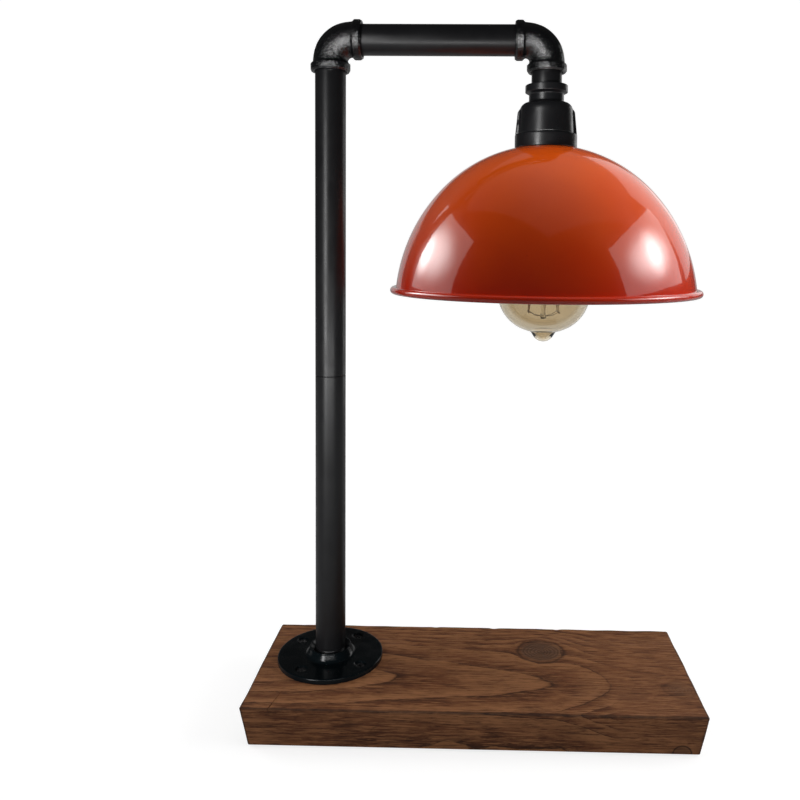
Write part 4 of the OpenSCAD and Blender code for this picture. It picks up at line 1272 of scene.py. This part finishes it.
class LAMP_OT_shade(bpy.types.Operator):
    """Builds the spun dome with its rolled rim, orange outside and white inside"""
    bl_idname = "pipe_lamp.shade"
    bl_label = "Shade"

    def execute(self, context):
        settings = context.scene.lamp_shade
        t = settings.sheet
        hole = 16.9 * MM
        outside, rim_z = dome(settings, 0)
        inside, _ = dome(settings, t)
        centre = wide("shade") / 2 - settings.roll
        seat = [(hole, SEAT_Z - 0.2 * MM), (hole + 0.2 * MM, SEAT_Z)]
        # The sheet curls outwards and round until its edge nearly meets the wall again
        wall = arc(centre, rim_z, settings.roll - t, 180, 490, 36)
        back = arc(centre, rim_z, settings.roll, 490, 180, 44)
        profile = seat + outside + wall[1:] + back + list(reversed(inside))[1:]
        profile += [(hole + 0.2 * MM, SEAT_Z - t), (hole, SEAT_Z - t + 0.2 * MM)]
        points, faces = turned(profile, 256)
        shade = solid("enamel_shade", points, faces, HEAD, 50)
        # The orange enamel gets painted shade towards its rim; the white one keeps one colour
        for name, base, shaded_base in (("orange_enamel", settings.outside, settings.outside_shaded_rim),
                                     ("white_enamel", settings.inside, settings.inside)):
            shade.data.materials.append(enamel(name, tuple(base), tuple(shaded_base), 0.22 * MM))
        for face in shade.data.polygons:
            p = face.center - HEAD
            outwards = face.normal.x * p.x + face.normal.y * p.y + face.normal.z * (p.z - rim_z + 0.02)
            under = p.z > rim_z + 0.2 * MM and p.xy.length < centre - settings.roll + 1.2 * MM
            face.material_index = 1 if outwards < 0 and under else 0
        fit(shade, "head", "orange_enamel", None, "shade")

        outer, h = wide("shade_washer") / 2, wide("shade_washer", 2)
        profile = rounded([(hole, 0, 0), (outer, 0, 0.2 * MM), (outer, h, 0.2 * MM), (hole, h, 0.1 * MM),
                           (hole, 0, 0)], 3)[:-1]
        washer = turned_piece("fibre_washer", "shade_washer", HEAD, profile, 96)
        fibre = moulded("fibre", (0.16, 0.045, 0.03), 0.7, 0.05 * MM, 0.3)
        fit(washer, "head", "fibre", fibre, "shade_washer")
        return {"FINISHED"}


# Lamp holder and bulb

def thread_wave(pitch, depth, low, high):
    """A rounded thread between two heights that fades at each end."""
    def shape(r, z, turn):
        wave = 0.5 - 0.5 * np.cos(TAU * (z / pitch - turn / TAU))
        zone = np.clip((z - low) / pitch, 0, 1) * np.clip((high - z) / pitch, 0, 1)
        return r - depth * wave * zone
    return shape


class LAMP_OT_lamp_holder(bpy.types.Operator):
    """Builds the holder's body, screw shell and contact"""
    bl_idname = "pipe_lamp.lamp_holder"
    bl_label = "Lamp Holder"

    def execute(self, context):
        low, high = box("holder_body")
        flange_r = (high.x - low.x) / 2
        washer_z = box("shade_washer")[0].z
        tall = high.z - low.z
        flange_high = washer_z - low.z
        flange_low = flange_high - 3 * MM
        skirt, neck = 18.5 * MM, 16.5 * MM
        bore = 14.5 * MM
        seat = box("holder_insulator")[1].z - low.z
        way = 6.05 * MM
        outside = rounded([
            (bore, 0, 0), (skirt - 0.8 * MM, 0, 0.7 * MM), (skirt, flange_low, 0.3 * MM),
            (flange_r - 0.3 * MM, flange_low, 0.5 * MM), (flange_r, flange_low + 1.5 * MM, 0.4 * MM),
            (flange_r, flange_high, 0.5 * MM), (neck, flange_high, 0.2 * MM), (neck, tall, 0.6 * MM),
            (way, tall, 0.2 * MM), (way, tall - 1.6 * MM, 0)], 4)
        inside = [(bore - MM, tall - 1.6 * MM), (bore - MM, seat), (bore, seat), (bore, 0.3 * MM)]

        def grips(r, z, turn):
            """Shallow flutes round the skirt and the flange's edge."""
            on_skirt = (z > MM) & (z < flange_low - MM) & (r > skirt - 1.1 * MM)
            on_ring = (z > flange_low) & (z < flange_high) & (r > flange_r - 0.8 * MM)
            flute = 0.5 - 0.5 * np.cos(turn * 36)
            return r - np.where(on_skirt, 0.45 * MM, np.where(on_ring, 0.5 * MM, 0)) * flute

        profile = dense(outside, 1.2 * MM) + inside
        holder = turned_piece("holder_moulding", "holder_body", HEAD, profile, 288, 40, radius=grips)
        plastic = moulded("holder_black", (0.012, 0.012, 0.012), 0.32)
        fit(holder, "head", "holder_black", plastic, "holder_body")
        dress("holder_insulator", moulded("ceramic", (0.82, 0.80, 0.74), 0.22), 0.3 * MM)

        r, tall = wide("holder_shell") / 2, wide("holder_shell", 2)
        hole = 9.5 * MM
        z_rows = np.linspace(0, tall - 1.2 * MM, 40)
        outside = [(r, z) for z in z_rows] + [(r - 0.8 * MM, tall), (hole, tall)]
        inside = [(hole, tall - BRASS_SHEET), (r - 1.1 * MM, tall - BRASS_SHEET)]
        inside += [(r - BRASS_SHEET, z) for z in z_rows[::-1]]
        shell = turned_piece("screw_shell", "holder_shell", HEAD, outside + inside, 96, 40)
        brass = plain_metal("shell_brass", (0.74, 0.55, 0.25), 0.26, (0.45, 0.30, 0.13))
        fit(shell, "head", "brass", brass, "holder_shell")

        spring = [(0, 0), (3.4, 0), (3.9, 0.15), (4.0, 0.35), (3.6, 0.5), (1.2, 0.55), (1.2, 3.4), (0, 3.5)]
        contact = turned_piece("centre_contact", "holder_contact", HEAD,
                               [(a * MM, b * MM) for a, b in spring], 64, closed=False)
        fit(contact, "head", "brass", brass, "holder_contact")
        return {"FINISHED"}


class LAMP_OT_bulb(bpy.types.Operator):
    """Builds the filament bulb: glass, stem, supports, filament and screw cap"""
    bl_idname = "pipe_lamp.bulb"
    bl_label = "Bulb"

    def execute(self, context):
        settings = context.scene.lamp_bulb
        low, high = box("bulb_glass")
        r, neck, t = (high.x - low.x) / 2, settings.neck, settings.glass
        tip, rim = low.z, high.z
        wide_z = tip + settings.pip + settings.bowl

        def line(inwards):
            side = bezier((neck - inwards, rim), (neck + MM - inwards, rim - 38 * MM),
                          (r - inwards, wide_z + 36 * MM), (r - inwards, wide_z), 60)
            angles = np.radians(np.linspace(0, 76, 40))[1:]
            bowl = [((r - inwards) * math.cos(a) ** 0.9,
                     wide_z - (settings.bowl - inwards) * math.sin(a) ** 0.9) for a in angles]
            return side + bowl

        outside = line(0)
        start = outside[-1]
        pip = bezier(start, (7 * MM, tip + settings.pip * 0.8), (6.2 * MM, tip), (0, tip), 22)
        inside = line(t)
        inside += bezier(inside[-1], (6.2 * MM, tip + settings.pip * 0.92), (4.6 * MM, tip + 1.6 * MM),
                         (0, tip + 1.6 * MM), 18)[1:]
        turns = 128
        points, faces = turned(outside + pip[1:], turns, closed=False)
        more, more_faces = turned(inside, turns, closed=False)
        n = len(points)
        faces += [tuple(i + n for i in face) for face in more_faces]
        faces += [(k, (k + 1) % turns, n + (k + 1) % turns, n + k) for k in range(turns)]
        envelope = solid("bulb_envelope", np.concatenate([points, more]), faces, HEAD, 60)
        glass = clear_glass("amber_glass", tuple(settings.tint), tuple(settings.painted_edge_reflection))
        fit(envelope, "bulb", "amber_glass", glass, "bulb_glass")

        cage_low, cage_top = wide_z - 17 * MM, wide_z + 33 * MM
        flare = neck - t - 0.3 * MM
        press = cage_top + 8 * MM
        profile = [(0, rim - 1.2 * MM), (flare - 0.8 * MM, rim - 0.6 * MM), (flare, rim - 0.6 * MM)]
        profile += bezier((flare, rim - 1.5 * MM), (6 * MM, rim - 4 * MM), (4.5 * MM, rim - 8 * MM),
                          (4.5 * MM, press), 20)
        profile += rounded([(4.5 * MM, press, 0), (1.6 * MM, press - 4 * MM, MM),
                            (1.6 * MM, cage_low - MM, MM), (2.3 * MM, cage_low - 3 * MM, MM),
                            (1.6 * MM, cage_low - 5 * MM, 0.5 * MM), (0, cage_low - 5 * MM, 0)], 5)[1:]
        points, faces = turned(profile, 64, closed=False)
        for p in points:
            flat = min(max((p[2] - press + 5 * MM) / (6 * MM), 0), 1)
            flat *= min(max((rim - 14 * MM - p[2]) / (10 * MM), 0), 1)
            p[1] *= 1 - 0.45 * flat
        stem = solid("glass_stem", points, faces, HEAD, 50)
        fit(stem, "bulb", "stem_glass", clear_glass("stem_glass", (0.93, 0.92, 0.86)), "bulb_stem")

        steel = plain_metal("lead_wire", (0.50, 0.47, 0.42), 0.35, (0.25, 0.20, 0.15))
        tungsten = plain_metal("filament_wire", (0.55, 0.24, 0.06), 0.5, (0.30, 0.12, 0.03), 0.3)
        count = settings.strands
        hooks, supports = [], []
        for i in range(count):
            a = i * TAU / count
            up = i % 2 == 0
            out = 9 * MM if up else 12 * MM
            ray = Vector((math.cos(a), math.sin(a), 0))
            tip_of = HEAD + ray * out + Vector((0, 0, cage_top if up else cage_low))
            root = HEAD + ray * 1.5 * MM + Vector((0, 0, (cage_top + 5 * MM) if up else (cage_low - 3 * MM)))
            bow = (root + tip_of) / 2 + Vector((0, 0, 1.5 * MM if up else -0.8 * MM))
            loop = [tip_of + ray * 0.5 * MM * math.sin(b) + Vector((0, 0, 0.5 * MM * math.cos(b)))
                    for b in np.linspace(0, TAU * 0.8, 9)]
            supports.append([root, bow, *loop])
            hooks.append(tip_of)
        ring = []
        for a, b in zip(hooks, hooks[1:]):
            ring += [a.lerp(b, k / 8) - Vector((0, 0, 0.6 * MM * math.sin(math.pi * k / 8)))
                     for k in range(8)]
        wires = wire("cage_supports", supports, 0.22 * MM)
        fit(wires, "bulb", "lead_wire", steel, "bulb_supports")
        coil = wire("cage_filament", [ring + [hooks[-1]]], settings.wire)
        fit(coil, "bulb", "filament_wire", tungsten, "bulb_filament")

        r, tall = wide("bulb_cap") / 2, wide("bulb_cap", 2)
        thread = thread_wave(3.63 * MM, 0.85 * MM, 3.4 * MM, tall - 1.4 * MM)
        z_rows = list(np.linspace(0.6 * MM, tall - 1.6 * MM, 58))
        outside = [(r - 0.2 * MM, 0)] + [(r, z) for z in z_rows]
        outside += [(r - MM, tall - 0.9 * MM), (8 * MM, tall)]
        inside = [(6 * MM, tall), (6 * MM, tall - BRASS_SHEET), (r - 1.9 * MM, tall - 1.6 * MM),
                  (r - 1.9 * MM, 0)]
        cap = turned_piece("screw_cap", "bulb_cap", HEAD, outside + inside, 128, 40,
                           radius=lambda a, z, turn: np.where(a > r - 0.5 * MM, thread(a, z, turn), a))
        brass = plain_metal("cap_brass", (0.72, 0.58, 0.32), 0.28, (0.50, 0.38, 0.20))
        fit(cap, "bulb", "cap_brass", brass, "bulb_cap")

        r_low, h = wide("bulb_insulator") / 2, wide("bulb_insulator", 2)
        profile = rounded([(2 * MM, 0, 0), (r_low, 0, 0.2 * MM), (5.2 * MM, h, 0.7 * MM), (2 * MM, h, 0)], 5)
        ring = turned_piece("black_glass_ring", "bulb_insulator", HEAD, profile, 64, 50)
        black = moulded("cap_glass", (0.012, 0.012, 0.014), 0.12, 0.0)
        fit(ring, "bulb", "cap_glass", black, "bulb_insulator")

        h = wide("bulb_contact", 2)
        tin = [(0, 0), (1.7 * MM, 0), (1.9 * MM, 0.3 * MM), (1.9 * MM, h - MM), (4.3 * MM, h - MM)]
        tin += bezier((4.4 * MM, h - 0.9 * MM), (4.0 * MM, h - 0.2 * MM), (2.5 * MM, h), (0, h), 8)
        contact = turned_piece("solder_contact", "bulb_contact", HEAD, tin, 64, 50, closed=False)
        solder = plain_metal("solder", (0.62, 0.60, 0.55), 0.32, (0.40, 0.37, 0.30))
        fit(contact, "bulb", "cap_brass", solder, "bulb_contact")
        return {"FINISHED"}


# Studio

CAMERA_PLACE = (-2.15 * MM, -551.4 * MM, 326.1 * MM)
CAMERA_TURN, CAMERA_DIP, CAMERA_ROLL = 0.021, 0.056, 0.009
FOCAL_PIXELS, FRAME_PIXELS = 785.5, 800
CENTRE_PIXELS = (460.0, 290.0)


def add_camera():
    """The camera, solved from the outlines in the photograph's frame of 800 by 800."""
    data = bpy.data.cameras.new("camera")
    data.sensor_width = 36
    data.lens = FOCAL_PIXELS / FRAME_PIXELS * data.sensor_width
    data.shift_x = (FRAME_PIXELS / 2 - CENTRE_PIXELS[0]) / FRAME_PIXELS
    data.shift_y = (CENTRE_PIXELS[1] - FRAME_PIXELS / 2) / FRAME_PIXELS
    data.clip_start = 0.02
    flat_right = Vector((math.cos(CAMERA_TURN), math.sin(CAMERA_TURN), 0))
    flat_ahead = Vector((-math.sin(CAMERA_TURN), math.cos(CAMERA_TURN), 0))
    up = Vector((0, 0, 1))
    ahead = flat_ahead * math.cos(CAMERA_DIP) - up * math.sin(CAMERA_DIP)
    tilted_up = flat_ahead * math.sin(CAMERA_DIP) + up * math.cos(CAMERA_DIP)
    right = flat_right * math.cos(CAMERA_ROLL) + tilted_up * math.sin(CAMERA_ROLL)
    true_up = tilted_up * math.cos(CAMERA_ROLL) - flat_right * math.sin(CAMERA_ROLL)
    camera = bpy.data.objects.new("camera", data)
    bpy.context.scene.collection.objects.link(camera)
    turn = Matrix((right, true_up, -ahead)).transposed()
    camera.matrix_world = Matrix.Translation(CAMERA_PLACE) @ turn.to_4x4()
    bpy.context.scene.camera = camera


def around(target, azimuth, rise, distance):
    """A place seen from a target: azimuth in degrees from the front towards +X, and its rise."""
    a, e = math.radians(azimuth), math.radians(rise)
    way = Vector((math.sin(a) * math.cos(e), -math.cos(a) * math.cos(e), math.sin(e)))
    return Vector(target) + way * distance


BLACK_FINISHES = ("pipe_black", "elbow_casting", "reducer_casting", "flange_casting", "screw_black")


def lit_pieces(name, finishes, state="INCLUDE"):
    """The pieces with these finishes, for a lamp that lights only them, or all but them."""
    chosen = bpy.data.collections.new(name)
    for piece in bpy.data.objects:
        own = piece.data.materials if piece.type == "MESH" else ()
        if own and own[0].name.split(".")[0] in finishes:
            chosen.objects.link(piece)
    for entry in chosen.collection_objects:
        entry.light_linking.link_state = state
    return chosen


SOFTBOX_MIDDLE = (0.5, 0.5, 0)  # across a lamp, from 0 to 1


def add_softbox(name, place, aim, size, brightness, lights, shows="both", rim=1.0):
    """An area lamp that faces a point and lights a collection. It is as bright as a surface of this
    brightness in its middle and fades to a rim of this share. It shows in both diffuse and glossy light,
    or in one of them."""
    data = bpy.data.lights.new(name, "AREA")
    data.shape = "RECTANGLE"
    data.size, data.size_y = size
    data.energy = brightness * size[0] * size[1] * math.pi
    data.use_nodes = True
    tree = data.node_tree
    across = tree.nodes.new("ShaderNodeNewGeometry")
    away = tree.nodes.new("ShaderNodeVectorMath")
    away.operation = "DISTANCE"
    away.inputs[1].default_value = SOFTBOX_MIDDLE
    fade = tree.nodes.new("ShaderNodeMapRange")
    fade.interpolation_type = "SMOOTHERSTEP"
    for socket, value in (("From Min", 0.0), ("From Max", 0.5), ("To Min", 1.0), ("To Max", rim)):
        fade.inputs[socket].default_value = value
    tree.links.new(across.outputs["Parametric"], away.inputs[0])
    tree.links.new(away.outputs["Value"], fade.inputs["Value"])
    tree.links.new(fade.outputs["Result"], tree.nodes["Emission"].inputs["Strength"])
    lamp = bpy.data.objects.new(name, data)
    lamp.location = place
    lamp.rotation_mode = "QUATERNION"
    lamp.rotation_quaternion = (Vector(place) - Vector(aim)).to_track_quat("Z", "Y")
    lamp.visible_camera = False
    lamp.visible_glossy = shows != "diffuse"
    lamp.visible_diffuse = shows != "glossy"
    lamp.light_linking.receiver_collection = lights
    bpy.context.scene.collection.objects.link(lamp)


def add_sweep(settings):
    """The pale floor and backdrop, which glow fully to the camera and in part in reflections."""
    # The floor runs back and turns up into the backdrop in one sweep
    left, right, front, back, tall, bend = -5.6, 4.6, -2.6, 8.0, 3.0, 1.0
    line = [(front, 0.0)] + arc(back - bend, bend, bend, -90, 0, 24) + [(back, tall)]
    points = [(x, y, z) for y, z in line for x in (left, right)]
    faces = [(2 * i, 2 * i + 1, 2 * i + 3, 2 * i + 2) for i in range(len(line) - 1)]
    sweep = solid("studio_sweep", points, faces, smooth=60)
    f = Finish("studio_sweep", tuple(settings.floor), Roughness=0.9)
    f.surface.inputs["Specular IOR Level"].default_value = 0.0
    rays = f.node("ShaderNodeLightPath")
    place = f.place()
    share_mirrored = f.spread(f.split(place)[2], 0.0, 0.3, settings.floor_mirrored, settings.wall_mirrored)
    mirrored = f.times(rays.outputs["Is Glossy Ray"], share_mirrored)
    seen = f.sum("MAXIMUM", f.sum("MAXIMUM", rays.outputs["Is Camera Ray"], mirrored),
                 rays.outputs["Is Transmission Ray"])
    away = f.node("ShaderNodeVectorMath", operation="LENGTH")
    f.put(away.inputs[0], place)
    glow = f.spread(away.outputs["Value"], 0.35, 1.0, settings.glow, settings.wall_glow)
    f.surface.inputs["Emission Color"].default_value = (1, 1, 1, 1)
    f.put(f.surface.inputs["Emission Strength"], f.times(seen, glow))
    sweep.data.materials.append(f.material)


def add_world(settings):
    """A world that is white to the camera and a faint grey to everything else."""
    world = bpy.data.worlds.new("studio")
    world.use_nodes = True
    seen = world.node_tree.nodes["Background"]
    seen.inputs["Color"].default_value = (1, 1, 1, 1)
    rays = world.node_tree.nodes.new("ShaderNodeLightPath")
    strength = world.node_tree.nodes.new("ShaderNodeMapRange")
    strength.inputs["To Min"].default_value = settings.ambient
    world.node_tree.links.new(rays.outputs["Is Camera Ray"], strength.inputs["Value"])
    world.node_tree.links.new(strength.outputs["Result"], seen.inputs["Strength"])
    bpy.context.scene.world = world


def add_lamps():
    """The softboxes and strips, each with the pieces that it lights."""
    # The black pieces have strips of their own, as a flag keeps the big softboxes off them
    dome_middle = HEAD + Vector((0, 0, 0.34))
    post_middle = POST + Vector((0, 0, 0.24))
    block_middle = (BLOCK_LOW + BLOCK_HIGH) / 2
    black = lit_pieces("lit_by_strips", BLACK_FINISHES)
    others = lit_pieces("off_strips", BLACK_FINISHES, "EXCLUDE")
    wood = lit_pieces("lit_by_fill", ("stained_wood",))
    castings = lit_pieces("lit_by_spark", ("elbow_casting",))
    enamelled = lit_pieces("lit_from_behind", ("orange_enamel",))
    arm_middle = Vector(((POST.x + HEAD.x) / 2, 0, ARM_Z))
    for name, target, azimuth, rise, distance, size, brightness, lights, *shape in (
            ("softbox_right", dome_middle, 84, 21, 1.1, (1.30, 0.66), 9.0, others, "both", 0.16),
            ("core_right", dome_middle, 88, 21, 1.05, (0.50, 0.54), 7.0, others, "glossy", 0.0),
            ("panel_right", dome_middle, 137, 24, 1.2, (0.74, 0.90), 0.7, others),
            ("back_right", dome_middle, 120, 30, 1.2, (0.74, 0.90), 2.6, enamelled, "diffuse"),
            ("softbox_left", dome_middle, -98, 20, 1.1, (1.05, 0.72), 8.0, others, "both", 0.16),
            ("core_left", dome_middle, -111, 16, 1.05, (0.44, 0.50), 7.5, others, "glossy", 0.0),
            ("back_left", dome_middle, -130, 30, 1.2, (0.80, 0.90), 3.2, enamelled, "diffuse"),
            ("scrim", dome_middle, 78, 68, 1.3, (1.60, 1.60), 1.10, others, "diffuse"),
            ("sky", dome_middle, 130, 84, 1.3, (2.10, 2.10), 0.24, others, "glossy", 0.5),
            ("fill", block_middle, 0, 14, 1.2, (0.90, 0.40), 3.8, wood),
            ("strip_front", post_middle, -28, 2, 1.0, (0.26, 0.95), 20.0, black, "both", 0.5),
            ("strip_low", arm_middle, 0, -31, 0.6, (0.60, 0.07), 13.0, black),
            ("spark", arm_middle, 0, -8, 0.5, (0.10, 0.10), 110.0, castings, "glossy"),
            ("strip_behind", post_middle, 132, 4, 1.1, (0.32, 1.00), 2.0, black)):
        add_softbox(name, around(target, azimuth, rise, distance), target, size, brightness, lights, *shape)


class LAMP_OT_studio(bpy.types.Operator):
    """Sets the camera, the pale floor and backdrop, the lamps and the world"""
    bl_idname = "pipe_lamp.studio"
    bl_label = "Studio"

    def execute(self, context):
        settings = context.scene.lamp_studio
        context.scene.view_settings.view_transform = "Standard"
        add_camera()
        add_sweep(settings)
        add_world(settings)
        add_lamps()
        return {"FINISHED"}


class LAMP_PT_panel(bpy.types.Panel):
    """Lists the lamp's pieces"""
    bl_label = "Pipe Lamp"
    bl_idname = "LAMP_PT_panel"
    bl_space_type = "VIEW_3D"
    bl_region_type = "UI"
    bl_category = "Pipe Lamp"

    def draw(self, context):
        for group in GROUPS:
            box_of = self.layout.box()
            settings = getattr(context.scene, group)
            for key in settings.__annotations__:
                box_of.prop(settings, key)
        for operator in OPERATORS:
            self.layout.operator(operator.bl_idname)


GROUPS = {"lamp_block": LampBlock, "lamp_pipes": LampPipes, "lamp_fittings": LampFittings,
          "lamp_shade": LampShade, "lamp_bulb": LampBulb, "lamp_studio": LampStudio}
OPERATORS = (LAMP_OT_wood_block, LAMP_OT_block_fittings, LAMP_OT_floor_flange, LAMP_OT_pipes, LAMP_OT_elbows,
             LAMP_OT_reducer, LAMP_OT_shade, LAMP_OT_lamp_holder, LAMP_OT_bulb, LAMP_OT_studio)


def register():
    for group in (*GROUPS.values(), *OPERATORS, LAMP_PT_panel):
        bpy.utils.register_class(group)
    for name, group in GROUPS.items():
        setattr(bpy.types.Scene, name, PointerProperty(type=group))


def unregister():
    for name in GROUPS:
        delattr(bpy.types.Scene, name)
    for group in (LAMP_PT_panel, *reversed(OPERATORS), *GROUPS.values()):
        bpy.utils.unregister_class(group)


def main():
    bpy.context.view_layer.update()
    register()
    for operator in OPERATORS:
        group, name = operator.bl_idname.split(".")
        getattr(getattr(bpy.ops, group), name)()


if __name__ == "__main__":
    main()
